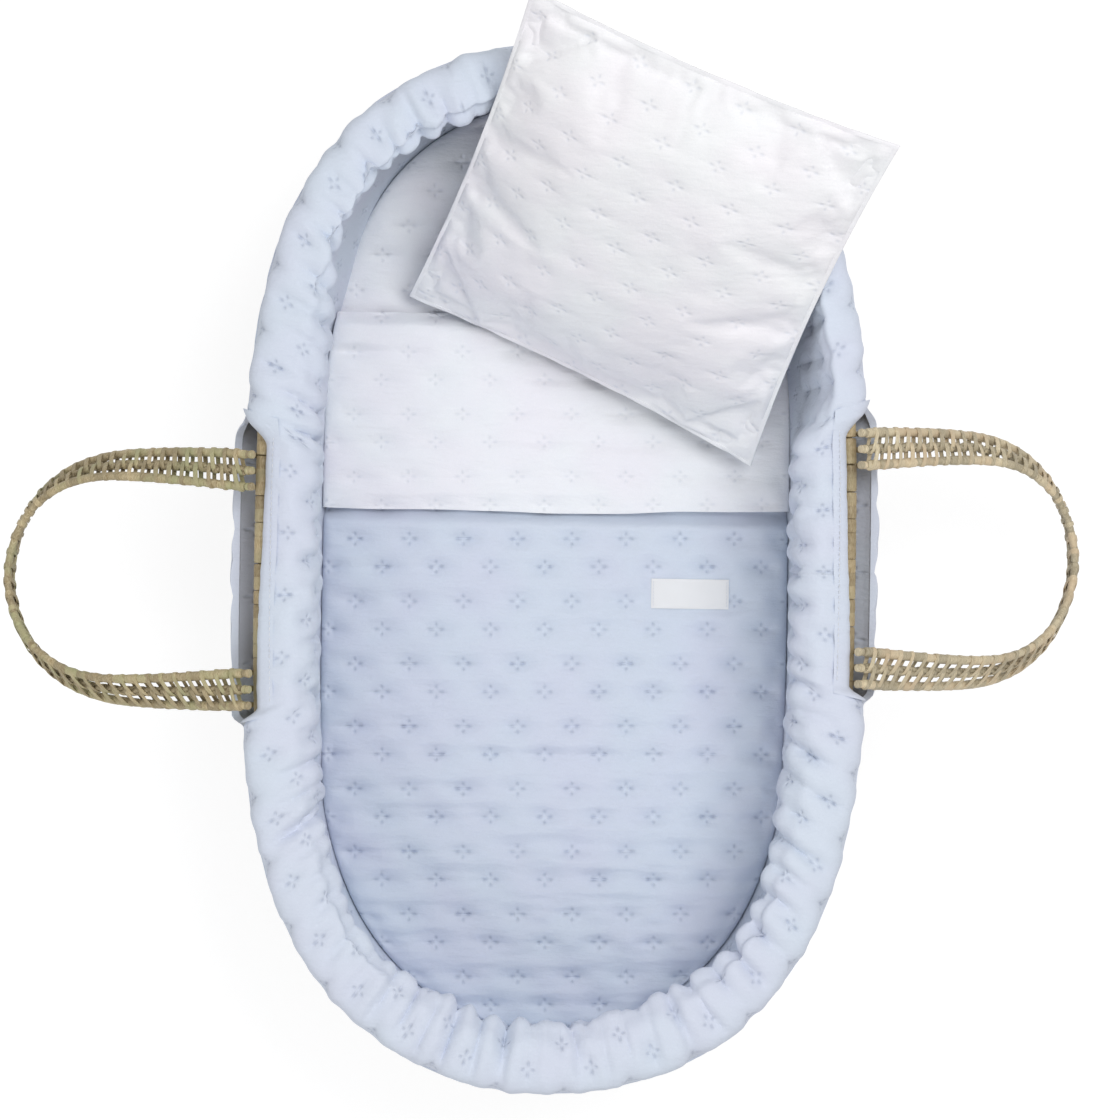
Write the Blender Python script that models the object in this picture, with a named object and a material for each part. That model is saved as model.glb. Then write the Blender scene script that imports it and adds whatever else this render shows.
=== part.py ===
"""Moses basket: a flared oval basket with a padded cover, plaited handles, mattress, coverlet and pillow.

Units are metres, +Z is up, +Y is the head end and the origin is the centre of the underside.
"""

import math

import bmesh
import bpy
from mathutils import Matrix, Vector

# Clearances that seat one piece on another
SEAT_GAP = 0.0003
SOFT_GAP = 0.0005
LINER_GAP = 0.0009
MERGE_GAP = 0.00001

# Basket body, measured at the top of its wall
BASKET_HALF_WIDTH = 0.230
BASKET_HALF_LENGTH = 0.396
OVAL_POWER_ACROSS = 2.0
OVAL_POWER_ALONG = 3.4
WALL_TOP = 0.2407
WALL_THICKNESS = 0.005
FLARE_ACROSS = 0.042
FLARE_ALONG = 0.024
BASE_THICKNESS = 0.006
BASE_ROUNDING = 0.0015

# Rolled rim
CORE_RADIUS = 0.003
WRAP_THICKNESS = 0.0027

# Plaited straps of the handles
STRAP_CORD_RADIUS = 0.0035
STRAP_CORD_PITCH = 0.0125
STRAP_LACE_PITCH = 0.014
STRAP_LACE_THICKNESS = 0.0044
LOOP_LENGTH = 0.249
LOOP_HALF_WIDTH = 0.088
HINGE_HEIGHT = 0.264
LEFT_LOOP_PLACE = -0.013
RIGHT_LOOP_PLACE = 0.011
LEFT_DROOP = math.radians(36.0)
RIGHT_DROOP = math.radians(43.0)

# Strap ends bound to the wall
ANCHOR_THICKNESS = 0.005
ANCHOR_FOOT = 0.140
LASHING_HEIGHT = 0.010
LASHING_THICKNESS = 0.0015
LASHING_PLACE = 0.176

# Padded cover
LINER_FOOT = 0.0145
LINER_THICKNESS = 0.010
LINER_SCALLOP = 0.0015
PAD_HALF_WIDTH = 0.1855
PAD_HALF_LENGTH = 0.3625
PAD_SHOULDER = 0.026
PAD_TOP = 0.242
PAD_FOOT = 0.080
PRESS_FOOT = 0.105
PRESS_HEAD = 0.350
PRESS_EASE = 0.035
ROLL_PADDING = 0.015
ROLL_OUTSIDE = 0.013
SLOT_HEAD_CLEARANCE = 0.024
SLOT_FOOT_CLEARANCE = 0.012
SLOT_EASE = 0.014
BINDING_THICKNESS = 0.0012
SKIRT_THICKNESS = 0.005
SKIRT_HEM = 0.095
SKIRT_BILLOW = 0.0025
FLAP_BULGE = 0.011
FLAP_DIP = 0.015
ELASTIC_HEIGHT = 0.008
ELASTIC_THICKNESS = 0.0012

# Mattress
MATTRESS_TOP = 0.058
MATTRESS_CLEARANCE = 0.0015
MATTRESS_SHOULDER = 0.045
COVER_CLOTH = 0.0015
BOARD_THICKNESS = 0.003
BOARD_INSET = 0.010

# Coverlet and its turned-down head band
COVERLET_HEAD = 0.2025
COVERLET_FOOT = 0.3590
COVERLET_LOFT = 0.041
COVERLET_FOOT_PUFF = 0.020
COVERLET_EDGE = 0.020
COVERLET_ROUNDING = 0.040
BAND_SEAT_LOFT = 0.030
BAND_HEAD = 0.2045
BAND_FOOT = 0.0445
BAND_LOFT = 0.010
BAND_EDGE = 0.004
TUFT_PITCH_ACROSS = 0.042
TUFT_PITCH_ALONG = 0.0243
TUFT_DEPTH = 0.004
LABEL_WIDTH = 0.0625
LABEL_LENGTH = 0.024
LABEL_THICKNESS = 0.001
LABEL_ACROSS = 0.1092
LABEL_ALONG = -0.0196

# Pillow
PILLOW_WIDTH = 0.303
PILLOW_LENGTH = 0.328
PILLOW_HALF_LOFT = 0.034
PILLOW_SEAM = 0.0015
PILLOW_CLOTH = 0.0012
PILLOW_FLANGE = 0.0055
PILLOW_CENTRE_ACROSS = 0.067
PILLOW_CENTRE_ALONG = 0.267
PILLOW_CENTRE_HEIGHT = 0.2545
PILLOW_TURN = math.radians(-27.0)
PILLOW_RISE = math.radians(42.0)
PILLOW_ROLL = math.radians(-5.0)
PILLOW_SAG = 0.030
FILLING_GAP = 0.0016
FILLING_INSET = 0.017

# Counts
RING_STATIONS = 72
MATTRESS_STATIONS = 40
DENSE_DIRECTIONS = 1440
PILLOW_CELLS = 12
FILLING_CELLS = 8

# Shares, chosen by hand, of the sizes that they follow
LOOP_SHARES = (
    (0.00, 0.96),
    (0.20, 0.99),
    (0.42, 1.01),
    (0.58, 1.00),
    (0.70, 0.945),
    (0.80, 0.84),
    (0.89, 0.67),
    (0.955, 0.44),
    (0.99, 0.20),
    (1.00, 0.00),
)
LOOP_TWIST_START_SHARE = 0.05
LOOP_TWIST_POWER_SHARE = 0.7
PILLOW_WAIST_SHARE = 0.045
FILLING_SHARE = 0.90
STATION_ROOM_SHARE = 0.6
MATTRESS_FOOT_SHARE = 0.12
MATTRESS_SHOULDER_SHARES = ((0.00, 0.70), (0.08, 0.90), (0.35, 0.985), (1.00, 1.00))

# Sizes worked out from the ones above
WRAP_RADIUS = CORE_RADIUS + SEAT_GAP + WRAP_THICKNESS
RIM_HEIGHT = WALL_TOP + SEAT_GAP + CORE_RADIUS
RIM_TOP = RIM_HEIGHT + WRAP_RADIUS
RIM_OFFSET = -WALL_THICKNESS / 2
STRAP_HALF_WIDTH = STRAP_CORD_PITCH + STRAP_CORD_RADIUS
HINGE_OFFSET = RIM_OFFSET + WRAP_RADIUS + SEAT_GAP + ANCHOR_THICKNESS / 2
LINER_OUTSIDE = -WALL_THICKNESS - LINER_GAP
LINER_INSIDE = LINER_OUTSIDE - LINER_THICKNESS
ROLL_TOP = RIM_TOP + ROLL_PADDING
CORE_FACETS = 6

LEFT = -1
RIGHT = 1


# Scene and materials


def clear_scene():
    """Empties the file of objects, so that the basket is all that it holds."""
    for item in list(bpy.data.objects):
        bpy.data.objects.remove(item, do_unlink=True)


def material(name, colour, roughness, sheen=0.0):
    """A Principled finish."""
    finish = bpy.data.materials.new(name)
    finish.use_nodes = True
    shader = finish.node_tree.nodes["Principled BSDF"]
    shader.inputs["Base Color"].default_value = (*colour, 1.0)
    shader.inputs["Roughness"].default_value = roughness
    shader.inputs["Metallic"].default_value = 0.0
    shader.inputs["Sheen Weight"].default_value = sheen
    return finish


def place(item, finish, smooth=True):
    """Puts an object in the basket's collection and gives it its finish."""
    bpy.data.collections["moses_basket"].objects.link(item)
    item.data.materials.clear()
    item.data.materials.append(finish)
    if smooth and item.type == "MESH":
        item.data.shade_smooth()
        item.data.set_sharp_from_angle(angle=math.radians(50.0))
    return item


def mesh_piece(name, shape, finish, smooth=True):
    """Turns a bmesh into a placed object with its faces pointing out."""
    bmesh.ops.recalc_face_normals(shape, faces=shape.faces)
    data = bpy.data.meshes.new(name)
    shape.to_mesh(data)
    shape.free()
    return place(bpy.data.objects.new(name, data), finish, smooth)


# The oval that every ring of the basket follows


def unit_oval(turn):
    """The point of the unit oval that lies in one direction."""
    across, along = math.cos(turn), math.sin(turn)
    low, high = 0.0, 2.0
    while high - low > 1e-9:
        reach = (low + high) / 2
        total = abs(reach * across) ** OVAL_POWER_ACROSS + abs(reach * along) ** OVAL_POWER_ALONG
        if total > 1.0:
            high = reach
        else:
            low = reach
    return low * across, low * along


def even_stations(count):
    """Unit points that lie at even distances along the rim."""
    turns = [2.0 * math.pi * step / DENSE_DIRECTIONS for step in range(DENSE_DIRECTIONS + 1)]
    points = [unit_oval(turn) for turn in turns]
    lengths = [0.0]
    for (x0, y0), (x1, y1) in zip(points, points[1:]):
        across, along = (x1 - x0) * BASKET_HALF_WIDTH, (y1 - y0) * BASKET_HALF_LENGTH
        lengths.append(lengths[-1] + math.hypot(across, along))
    stations = []
    step = 0
    for number in range(count):
        target = lengths[-1] * number / count
        while lengths[step + 1] < target:
            step += 1
        span = lengths[step + 1] - lengths[step]
        blend = (target - lengths[step]) / span
        stations.append(unit_oval(turns[step] + blend * (turns[step + 1] - turns[step])))
    return stations


def leg_places(side):
    """Where the two legs of a handle stand along the basket, foot end first."""
    middle = LEFT_LOOP_PLACE if side == LEFT else RIGHT_LOOP_PLACE
    half = LOOP_HALF_WIDTH * LOOP_SHARES[0][1]
    return middle - half, middle + half


def slot_ends(side):
    """The foot and head ends of the slot in the cover that a handle comes through."""
    foot_leg, head_leg = leg_places(side)
    return (
        foot_leg - STRAP_HALF_WIDTH - SLOT_FOOT_CLEARANCE,
        head_leg + STRAP_HALF_WIDTH + SLOT_HEAD_CLEARANCE,
    )


def ring_stations():
    """Even stations, with one on each side of every slot end."""
    extra = []
    for side in (LEFT, RIGHT):
        foot, head = slot_ends(side)
        for step in (0.0, SLOT_EASE / 2, SLOT_EASE):
            for along in (foot + step, head - step):
                share = along / BASKET_HALF_LENGTH
                across = (1.0 - abs(share) ** OVAL_POWER_ALONG) ** (1.0 / OVAL_POWER_ACROSS)
                extra.append((side * across, share))
    room = SLOT_EASE / BASKET_HALF_LENGTH * STATION_ROOM_SHARE
    kept = [
        point
        for point in even_stations(RING_STATIONS)
        if all(abs(point[1] - other[1]) > room or point[0] * other[0] < 0.0 for other in extra)
    ]
    return sorted(kept + extra, key=lambda point: math.atan2(point[1], point[0]) % (2.0 * math.pi))


def lean(height):
    """How far down the flare a height lies, from 0 at the top of the wall to 1 at the floor."""
    return max(0.0, 1.0 - height / WALL_TOP)


def half_width(height, offset):
    return BASKET_HALF_WIDTH + offset - FLARE_ACROSS * lean(height)


def half_length(height, offset):
    return BASKET_HALF_LENGTH + offset - FLARE_ALONG * lean(height)


def oval_point(station, offset, height):
    """A point at a distance outside the wall's outer face, at a height."""
    across = half_width(height, offset) * station[0]
    along = half_length(height, offset) * station[1]
    return Vector((across, along, height))


def width_at(along, offset, height):
    """Half the width of an oval ring where it passes a place along the basket."""
    share = min(1.0, abs(along) / half_length(height, offset))
    return half_width(height, offset) * (1.0 - share**OVAL_POWER_ALONG) ** (1.0 / OVAL_POWER_ACROSS)


def slot_share(station):
    """1 inside a handle slot of the cover, 0 outside it."""
    side = RIGHT if station[0] > 0.0 else LEFT
    foot, head = slot_ends(side)
    along = station[1] * BASKET_HALF_LENGTH
    depth = (min(along - foot, head - along) + MERGE_GAP) / SLOT_EASE
    return min(1.0, max(0.0, depth))


def loft(shape, sections, closed=True):
    """Joins equal sections, each a closed loop of points, into one skin."""
    rings = [[shape.verts.new(point) for point in section] for section in sections]
    pairs = zip(rings, rings[1:] + rings[:1]) if closed else zip(rings, rings[1:])
    for ring, after in pairs:
        bridge(shape, (ring, after))
    if not closed:
        shape.faces.new(rings[0])
        shape.faces.new(list(reversed(rings[-1])))


def lay_rings(shape, stations, levels):
    """One ring of vertices for each offset and height."""
    rings = []
    for offset, height in levels:
        rings.append([shape.verts.new(oval_point(station, offset, height)) for station in stations])
    return rings


def bridge(shape, rings):
    """Joins each ring of vertices to the next."""
    for ring, after in zip(rings, rings[1:]):
        for number in range(len(ring)):
            following = (number + 1) % len(ring)
            shape.faces.new((ring[number], ring[following], after[following], after[number]))


def ring_piece(name, stations, section_at, finish):
    """A closed ring round the basket whose section, in offset and height, may change."""
    shape = bmesh.new()
    sections = []
    for number, station in enumerate(stations):
        profile = section_at(number, station)
        sections.append([oval_point(station, offset, height) for offset, height in profile])
    loft(shape, sections)
    return mesh_piece(name, shape, finish)


# Basket


def make_base(stations, finish):
    """The woven floor, a plate with rounded edges that fits inside the wall."""
    shape = bmesh.new()
    outside = -WALL_THICKNESS - SEAT_GAP
    levels = (
        (outside - BASE_ROUNDING, 0.0),
        (outside, BASE_ROUNDING),
        (outside, BASE_THICKNESS - BASE_ROUNDING),
        (outside - BASE_ROUNDING, BASE_THICKNESS),
    )
    rings = []
    for offset, height in levels:
        lift = Vector((0.0, 0.0, height))
        rings.append([shape.verts.new(oval_point(station, offset, 0.0) + lift) for station in stations])
    bridge(shape, rings)
    shape.faces.new(rings[0])
    shape.faces.new(rings[-1])
    return mesh_piece("base_plate", shape, finish)


def make_wall(stations, finish):
    """The flared side wall."""
    section = ((0.0, 0.0), (0.0, WALL_TOP), (-WALL_THICKNESS, WALL_TOP), (-WALL_THICKNESS, 0.0))
    return ring_piece("side_wall", stations, lambda number, station: section, finish)


def make_rim_core(stations, finish):
    """The cane that stiffens the rim, lying on the top edge of the wall."""
    section = []
    for facet in range(CORE_FACETS):
        turn = 2.0 * math.pi * facet / CORE_FACETS - math.pi / 2
        section.append((RIM_OFFSET + CORE_RADIUS * math.cos(turn), RIM_HEIGHT + CORE_RADIUS * math.sin(turn)))
    return ring_piece("rim_core", stations, lambda number, station: section, finish)


def make_rim_wrap(stations, finish):
    """The straw wound over the cane, open below where the wall enters it."""
    opening = math.radians(60.0)
    outer_steps, inner_steps = 6, 4
    section = []
    for step in range(outer_steps + 1):
        turn = -math.pi / 2 + opening + (2.0 * math.pi - 2.0 * opening) * step / outer_steps
        section.append((RIM_OFFSET + WRAP_RADIUS * math.cos(turn), RIM_HEIGHT + WRAP_RADIUS * math.sin(turn)))
    bore = (CORE_RADIUS + SEAT_GAP) / math.cos((math.pi - opening) / inner_steps)
    for step in reversed(range(inner_steps + 1)):
        turn = -math.pi / 2 + opening + (2.0 * math.pi - 2.0 * opening) * step / inner_steps
        section.append((RIM_OFFSET + bore * math.cos(turn), RIM_HEIGHT + bore * math.sin(turn)))
    return ring_piece("rim_wrap", stations, lambda number, station: section, finish)


# Padded cover


def roll_outline():
    """Where the cover rolls over the rim, from its lip on the outside to its inner shoulder."""
    under = RIM_TOP + SOFT_GAP
    outer_bore = RIM_OFFSET + WRAP_RADIUS + SOFT_GAP
    lip = RIM_TOP - ROLL_PADDING + 2.0 * SOFT_GAP
    crest = ROLL_TOP
    return (
        (RIM_OFFSET - WRAP_RADIUS, under),
        (outer_bore - WRAP_THICKNESS, under),
        (outer_bore, RIM_HEIGHT + WRAP_THICKNESS),
        (outer_bore, lip),
        (ROLL_OUTSIDE, lip),
        (ROLL_OUTSIDE, RIM_TOP),
        (ROLL_OUTSIDE * 0.65, crest - ROLL_PADDING * 0.25),
        (0.0, crest),
        (-PAD_SHOULDER, crest - ROLL_PADDING * 0.25),
    )


def slot_outline():
    """The same run of points where a slot cuts the roll back to the top of the rim."""
    under = RIM_TOP + SOFT_GAP
    edge = -WALL_THICKNESS * 0.6
    crest = ROLL_TOP - ROLL_PADDING * 0.2
    rise = crest - under
    return (
        (RIM_OFFSET - WRAP_RADIUS, under),
        (edge - WRAP_THICKNESS, under),
        (edge - WRAP_THICKNESS * 0.3, under + rise * 0.08),
        (edge, under + rise * 0.25),
        (edge, under + rise * 0.5),
        (edge - WRAP_THICKNESS * 0.2, under + rise * 0.75),
        (edge - WRAP_THICKNESS * 0.9, under + rise * 0.92),
        (edge - WRAP_THICKNESS * 2.0, crest),
        (-PAD_SHOULDER, crest - ROLL_PADDING * 0.05),
    )


def half_cut_outline():
    """The same run of points at the end of a slot, where the lip has lifted off the side of the rim."""
    under = RIM_TOP + SOFT_GAP
    outer_bore = RIM_OFFSET + WRAP_RADIUS + SOFT_GAP
    crest = ROLL_TOP - ROLL_PADDING * 0.05
    return (
        (RIM_OFFSET - WRAP_RADIUS, under),
        (outer_bore - WRAP_THICKNESS, under),
        (outer_bore, under),
        (ROLL_OUTSIDE * 0.5, under),
        (ROLL_OUTSIDE * 0.68, under + ROLL_PADDING * 0.1),
        (ROLL_OUTSIDE * 0.72, under + ROLL_PADDING * 0.3),
        (ROLL_OUTSIDE * 0.5, under + ROLL_PADDING * 0.65),
        (0.0, crest),
        (-PAD_SHOULDER, crest - ROLL_PADDING * 0.2),
    )


def blended(first, second, share):
    """Points part of the way from one outline to another."""
    return [(a + share * (c - a), b + share * (d - b)) for (a, b), (c, d) in zip(first, second)]


def pressed(station):
    """1 where the pillow presses the padding flat against the wall, 0 where it stands full."""
    along = station[1] * BASKET_HALF_LENGTH
    depth = min(along - PRESS_FOOT, PRESS_HEAD - along) / PRESS_EASE
    return min(1.0, max(0.0, depth)) if station[0] > 0.0 else 0.0


def pad_inside(number, station, height):
    """The inner face of the padding, which hangs upright from the roll, drawn in and out by its gathers."""
    across = PAD_HALF_WIDTH - half_width(height, 0.0)
    along = PAD_HALF_LENGTH - half_length(height, 0.0)
    share = station[0] ** 2 / (station[0] ** 2 + station[1] ** 2)
    full = along + (across - along) * share
    return full + (LINER_INSIDE - full) * pressed(station) - (LINER_SCALLOP if number % 2 else 0.0)


def make_bumper(stations, finish):
    """The padded panel that lines the wall and rolls over the rim."""
    whole, half, cut = roll_outline(), half_cut_outline(), slot_outline()
    wall_shoulder = WALL_TOP - ROLL_PADDING
    inner_bore = RIM_OFFSET - WRAP_RADIUS - SOFT_GAP

    def section(number, station):
        share = slot_share(station)
        profile = [
            (LINER_OUTSIDE, LINER_FOOT),
            (LINER_OUTSIDE, wall_shoulder),
            (inner_bore, RIM_HEIGHT - CORE_RADIUS),
        ]
        if share < 0.5:
            profile += blended(whole, half, share * 2.0)
        else:
            profile += blended(half, cut, share * 2.0 - 1.0)
        shoulder, crest = profile[-1]
        profile[-1] = (shoulder + (LINER_OUTSIDE * 2 - shoulder) * pressed(station), crest)
        profile.append((pad_inside(number, station, PAD_TOP), PAD_TOP))
        profile.append((pad_inside(number, station, PAD_FOOT), PAD_FOOT))
        profile.append((LINER_INSIDE, LINER_FOOT))
        return profile

    return ring_piece("cover_bumper", stations, section, finish)


def make_skirt(stations, finish):
    """The outer fall of the cover, sewn below the roll and drawn in at its hem."""
    top = RIM_TOP - ROLL_PADDING + SOFT_GAP
    drop = top - SKIRT_HEM
    hem_inside = SOFT_GAP + ELASTIC_THICKNESS + SOFT_GAP
    levels = (
        (top, ROLL_OUTSIDE, 1.0),
        (top - drop * 0.24, ROLL_OUTSIDE + SKIRT_BILLOW, 0.8),
        (top - drop * 0.55, ROLL_OUTSIDE + SKIRT_BILLOW / 2, 0.35),
        (top - drop * 0.86, hem_inside + SKIRT_THICKNESS + SKIRT_BILLOW, 0.0),
        (SKIRT_HEM, hem_inside + SKIRT_THICKNESS, 0.0),
    )

    def section(number, station):
        share = slot_share(station)
        outer, inner = [], []
        for rank, (height, offset, bulge) in enumerate(levels):
            dip = FLAP_DIP * share if rank == 0 else 0.0
            out = offset + FLAP_BULGE * bulge * share
            outer.append((out, height - dip))
            inner.append((out - SKIRT_THICKNESS, height - dip))
        return outer + inner[::-1]

    return ring_piece("cover_skirt", stations, section, finish)


def make_elastic(stations, finish):
    """The elastic inside the hem of the skirt."""
    low = SKIRT_HEM + SOFT_GAP
    inside, outside = SOFT_GAP, SOFT_GAP + ELASTIC_THICKNESS
    section = ((inside, low), (inside, low + ELASTIC_HEIGHT), (outside, low + ELASTIC_HEIGHT), (outside, low))
    return ring_piece("hem_elastic", stations, lambda number, station: section, finish)


def make_binding(name, side, stations, finish):
    """The bound facing on the edge of a slot, from one handle leg to the other."""
    cut = slot_outline()[3:]
    ways = ((1.0, 0.0), (1.0, 0.0), (0.9, 0.43), (0.6, 0.8), (0.1, 1.0), (0.0, 1.0))
    near, far = SOFT_GAP, SOFT_GAP + BINDING_THICKNESS
    inner = [(o + w * near, h + v * near) for (o, h), (w, v) in zip(cut, ways)]
    outer = [(o + w * far, h + v * far) for (o, h), (w, v) in zip(cut, ways)]
    own_side = [station for station in stations if station[0] * side > 0.0]
    inside = [station for station in own_side if slot_share(station) >= 1.0]
    inside.sort(key=lambda station: station[1])
    shape = bmesh.new()
    profile = outer + inner[::-1]
    sections = [[oval_point(station, offset, height) for offset, height in profile] for station in inside]
    loft(shape, sections, closed=False)
    return mesh_piece(name, shape, finish)


# Handles


def between(before, start, end, after, share):
    """A value part of the way from a start to an end on a smooth curve through its neighbours."""
    linear = (end - before) * share
    square = (2 * before - 5 * start + 4 * end - after) * share**2
    cube = (3 * start - before - 3 * end + after) * share**3
    return 0.5 * (2 * start + linear + square + cube)


def smooth_route(points, steps):
    """Points on a smooth curve through the given ones, a given number to each span."""
    route = []
    for number in range(len(points) - 1):
        before = points[max(0, number - 1)]
        start, end = points[number], points[number + 1]
        after = points[min(len(points) - 1, number + 2)]
        for step in range(steps):
            spans = zip(before, start, end, after)
            route.append(tuple(between(*span, step / steps) for span in spans))
    route.append(points[-1])
    return route


def evenly(points, count):
    """The same route with its points at even distances."""
    lengths = [0.0]
    for start, end in zip(points, points[1:]):
        lengths.append(lengths[-1] + math.dist(start, end))
    even, step = [], 0
    for number in range(count):
        target = lengths[-1] * number / (count - 1)
        while step < len(points) - 2 and lengths[step + 1] < target:
            step += 1
        blend = (target - lengths[step]) / (lengths[step + 1] - lengths[step])
        even.append(tuple(a + blend * (b - a) for a, b in zip(points[step], points[step + 1])))
    return even


def loop_plan(start):
    """The middle line of a handle in its own plane: distance from the hinge, and place across."""
    half = [(along * LOOP_LENGTH, across * LOOP_HALF_WIDTH) for along, across in LOOP_SHARES]
    half[0] = (start, half[0][1])
    whole = half + [(along, -across) for along, across in reversed(half[:-1])]
    return smooth_route(whole, 12)


def strap_frames(side, count):
    """Places along a handle with the directions across and through its strap, from its hinge."""
    droop = LEFT_DROOP if side == LEFT else RIGHT_DROOP
    reach = ANCHOR_THICKNESS / 2 + 3.0 * SEAT_GAP + STRAP_CORD_RADIUS * math.sin(droop)
    plan = evenly(loop_plan(reach / math.cos(droop)), count)
    outward = Vector((side * math.cos(droop), 0.0, -math.sin(droop)))
    upward = Vector((side * math.sin(droop), 0.0, math.cos(droop)))
    frames = []
    for number, (along, across) in enumerate(plan):
        before, after = plan[max(0, number - 1)], plan[min(count - 1, number + 1)]
        run = Vector((after[0] - before[0], after[1] - before[1])).normalized()
        wide = outward * -run.y + Vector((0.0, run.x, 0.0))
        share = max(0.0, along / LOOP_LENGTH - LOOP_TWIST_START_SHARE)
        twist = (math.pi / 2 - droop) * math.sin(math.pi / 2 * min(1.0, share**LOOP_TWIST_POWER_SHARE))
        spread = wide * math.cos(twist) - upward * math.sin(twist)
        through = wide * math.sin(twist) + upward * math.cos(twist)
        frames.append((outward * along + Vector((0.0, across, 0.0)), spread, through))
    return frames


def hinge(name, side):
    """An empty on the axis that a handle swings about."""
    empty = bpy.data.objects.new(name, None)
    middle = LEFT_LOOP_PLACE if side == LEFT else RIGHT_LOOP_PLACE
    empty.location = (side * half_width(HINGE_HEIGHT, HINGE_OFFSET), middle, HINGE_HEIGHT)
    bpy.data.collections["moses_basket"].objects.link(empty)
    return empty


def lace_count():
    """How many lacings join the cords of one handle."""
    return round((2.0 * LOOP_LENGTH + LOOP_HALF_WIDTH) / STRAP_LACE_PITCH)


def make_cord(name, side, offset, carrier, finish):
    """One edge cord of a handle."""
    data = bpy.data.curves.new(name, "CURVE")
    data.dimensions = "3D"
    data.bevel_depth = STRAP_CORD_RADIUS
    data.bevel_resolution = 1
    data.use_fill_caps = True
    spline = data.splines.new("POLY")
    whole = strap_frames(side, 2 * lace_count() + 1)
    frames = [whole[0]] + whole[1::2] + [whole[-1]]
    spline.points.add(len(frames) - 1)
    for point, (middle, spread, _) in zip(spline.points, frames):
        point.co = (*(middle + spread * offset), 1.0)
    cord = place(bpy.data.objects.new(name, data), finish)
    cord.parent = carrier
    return cord


def make_braid(name, side, carrier, finish):
    """The middle braid of a handle, with lacing that reaches out to both edge cords."""
    frames = strap_frames(side, 2 * lace_count() + 1)
    slim = STRAP_CORD_RADIUS
    wide = STRAP_CORD_PITCH - STRAP_CORD_RADIUS - SEAT_GAP
    half = STRAP_LACE_THICKNESS / 2
    shape = bmesh.new()
    sections = []
    for number, (middle, spread, through) in enumerate(frames):
        reach = wide if number % 2 else slim
        sections.append(
            [
                middle + spread * reach + through * half,
                middle - spread * reach + through * half,
                middle - spread * reach - through * half,
                middle + spread * reach - through * half,
            ]
        )
    loft(shape, sections, closed=False)
    braid = mesh_piece(name, shape, finish)
    braid.parent = carrier
    return braid


def make_anchor(name, side, along, finish):
    """A strap end that lies on the wall, passes the rim and ends in the fold the handle swings on."""
    half = ANCHOR_THICKNESS / 2
    inner_edge = min(abs(along - STRAP_HALF_WIDTH), abs(along + STRAP_HALF_WIDTH))
    wall_face = SEAT_GAP + half
    shoulder = WALL_TOP - ROLL_PADDING
    middle = [
        (width_at(inner_edge, wall_face, ANCHOR_FOOT), ANCHOR_FOOT),
        (width_at(inner_edge, wall_face, shoulder), shoulder),
        (half_width(HINGE_HEIGHT, HINGE_OFFSET), RIM_HEIGHT - WRAP_RADIUS),
        (half_width(HINGE_HEIGHT, HINGE_OFFSET), HINGE_HEIGHT),
    ]
    outline = [(across + half, height) for across, height in middle]
    for step in range(1, 6):
        turn = math.pi * step / 6
        outline.append((middle[-1][0] + half * math.cos(turn), HINGE_HEIGHT + half * math.sin(turn)))
    outline += [(across - half, height) for across, height in reversed(middle)]
    data = bpy.data.curves.new(name, "CURVE")
    data.dimensions = "2D"
    data.fill_mode = "BOTH"
    data.extrude = STRAP_HALF_WIDTH
    spline = data.splines.new("POLY")
    spline.points.add(len(outline) - 1)
    for point, (across, height) in zip(spline.points, outline):
        point.co = (side * across, height, 0.0, 1.0)
    spline.use_cyclic_u = True
    anchor = place(bpy.data.objects.new(name, data), finish)
    anchor.rotation_euler = (math.pi / 2, 0.0, 0.0)
    anchor.location = (0.0, along, 0.0)
    return anchor


def make_lashing(name, side, along, finish):
    """The binding that holds a strap end to the wall, a staple round the strap."""
    inner_edge = min(abs(along - STRAP_HALF_WIDTH), abs(along + STRAP_HALF_WIDTH))
    slope = math.atan2(FLARE_ACROSS, WALL_TOP)
    near = SEAT_GAP * 3.0
    bore = ANCHOR_THICKNESS + SEAT_GAP * 3.0
    far = bore + LASHING_THICKNESS
    inside = STRAP_HALF_WIDTH + SEAT_GAP
    outside = inside + LASHING_THICKNESS
    outline = (
        (near, -outside),
        (far, -outside),
        (far, outside),
        (near, outside),
        (near, inside),
        (bore, inside),
        (bore, -inside),
        (near, -inside),
    )
    data = bpy.data.curves.new(name, "CURVE")
    data.dimensions = "2D"
    data.fill_mode = "BOTH"
    data.extrude = LASHING_HEIGHT / 2
    spline = data.splines.new("POLY")
    spline.points.add(len(outline) - 1)
    for point, (out, across) in zip(spline.points, outline):
        point.co = (side * out, across, 0.0, 1.0)
    spline.use_cyclic_u = True
    lashing = place(bpy.data.objects.new(name, data), finish)
    lashing.rotation_euler = (0.0, side * slope, 0.0)
    lashing.location = (side * width_at(inner_edge, 0.0, LASHING_PLACE), along, LASHING_PLACE)
    return lashing


# Mattress


def mattress_rim():
    """How far the mattress stands inside the wall's outer face."""
    return LINER_INSIDE - LINER_SCALLOP - MATTRESS_CLEARANCE


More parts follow.
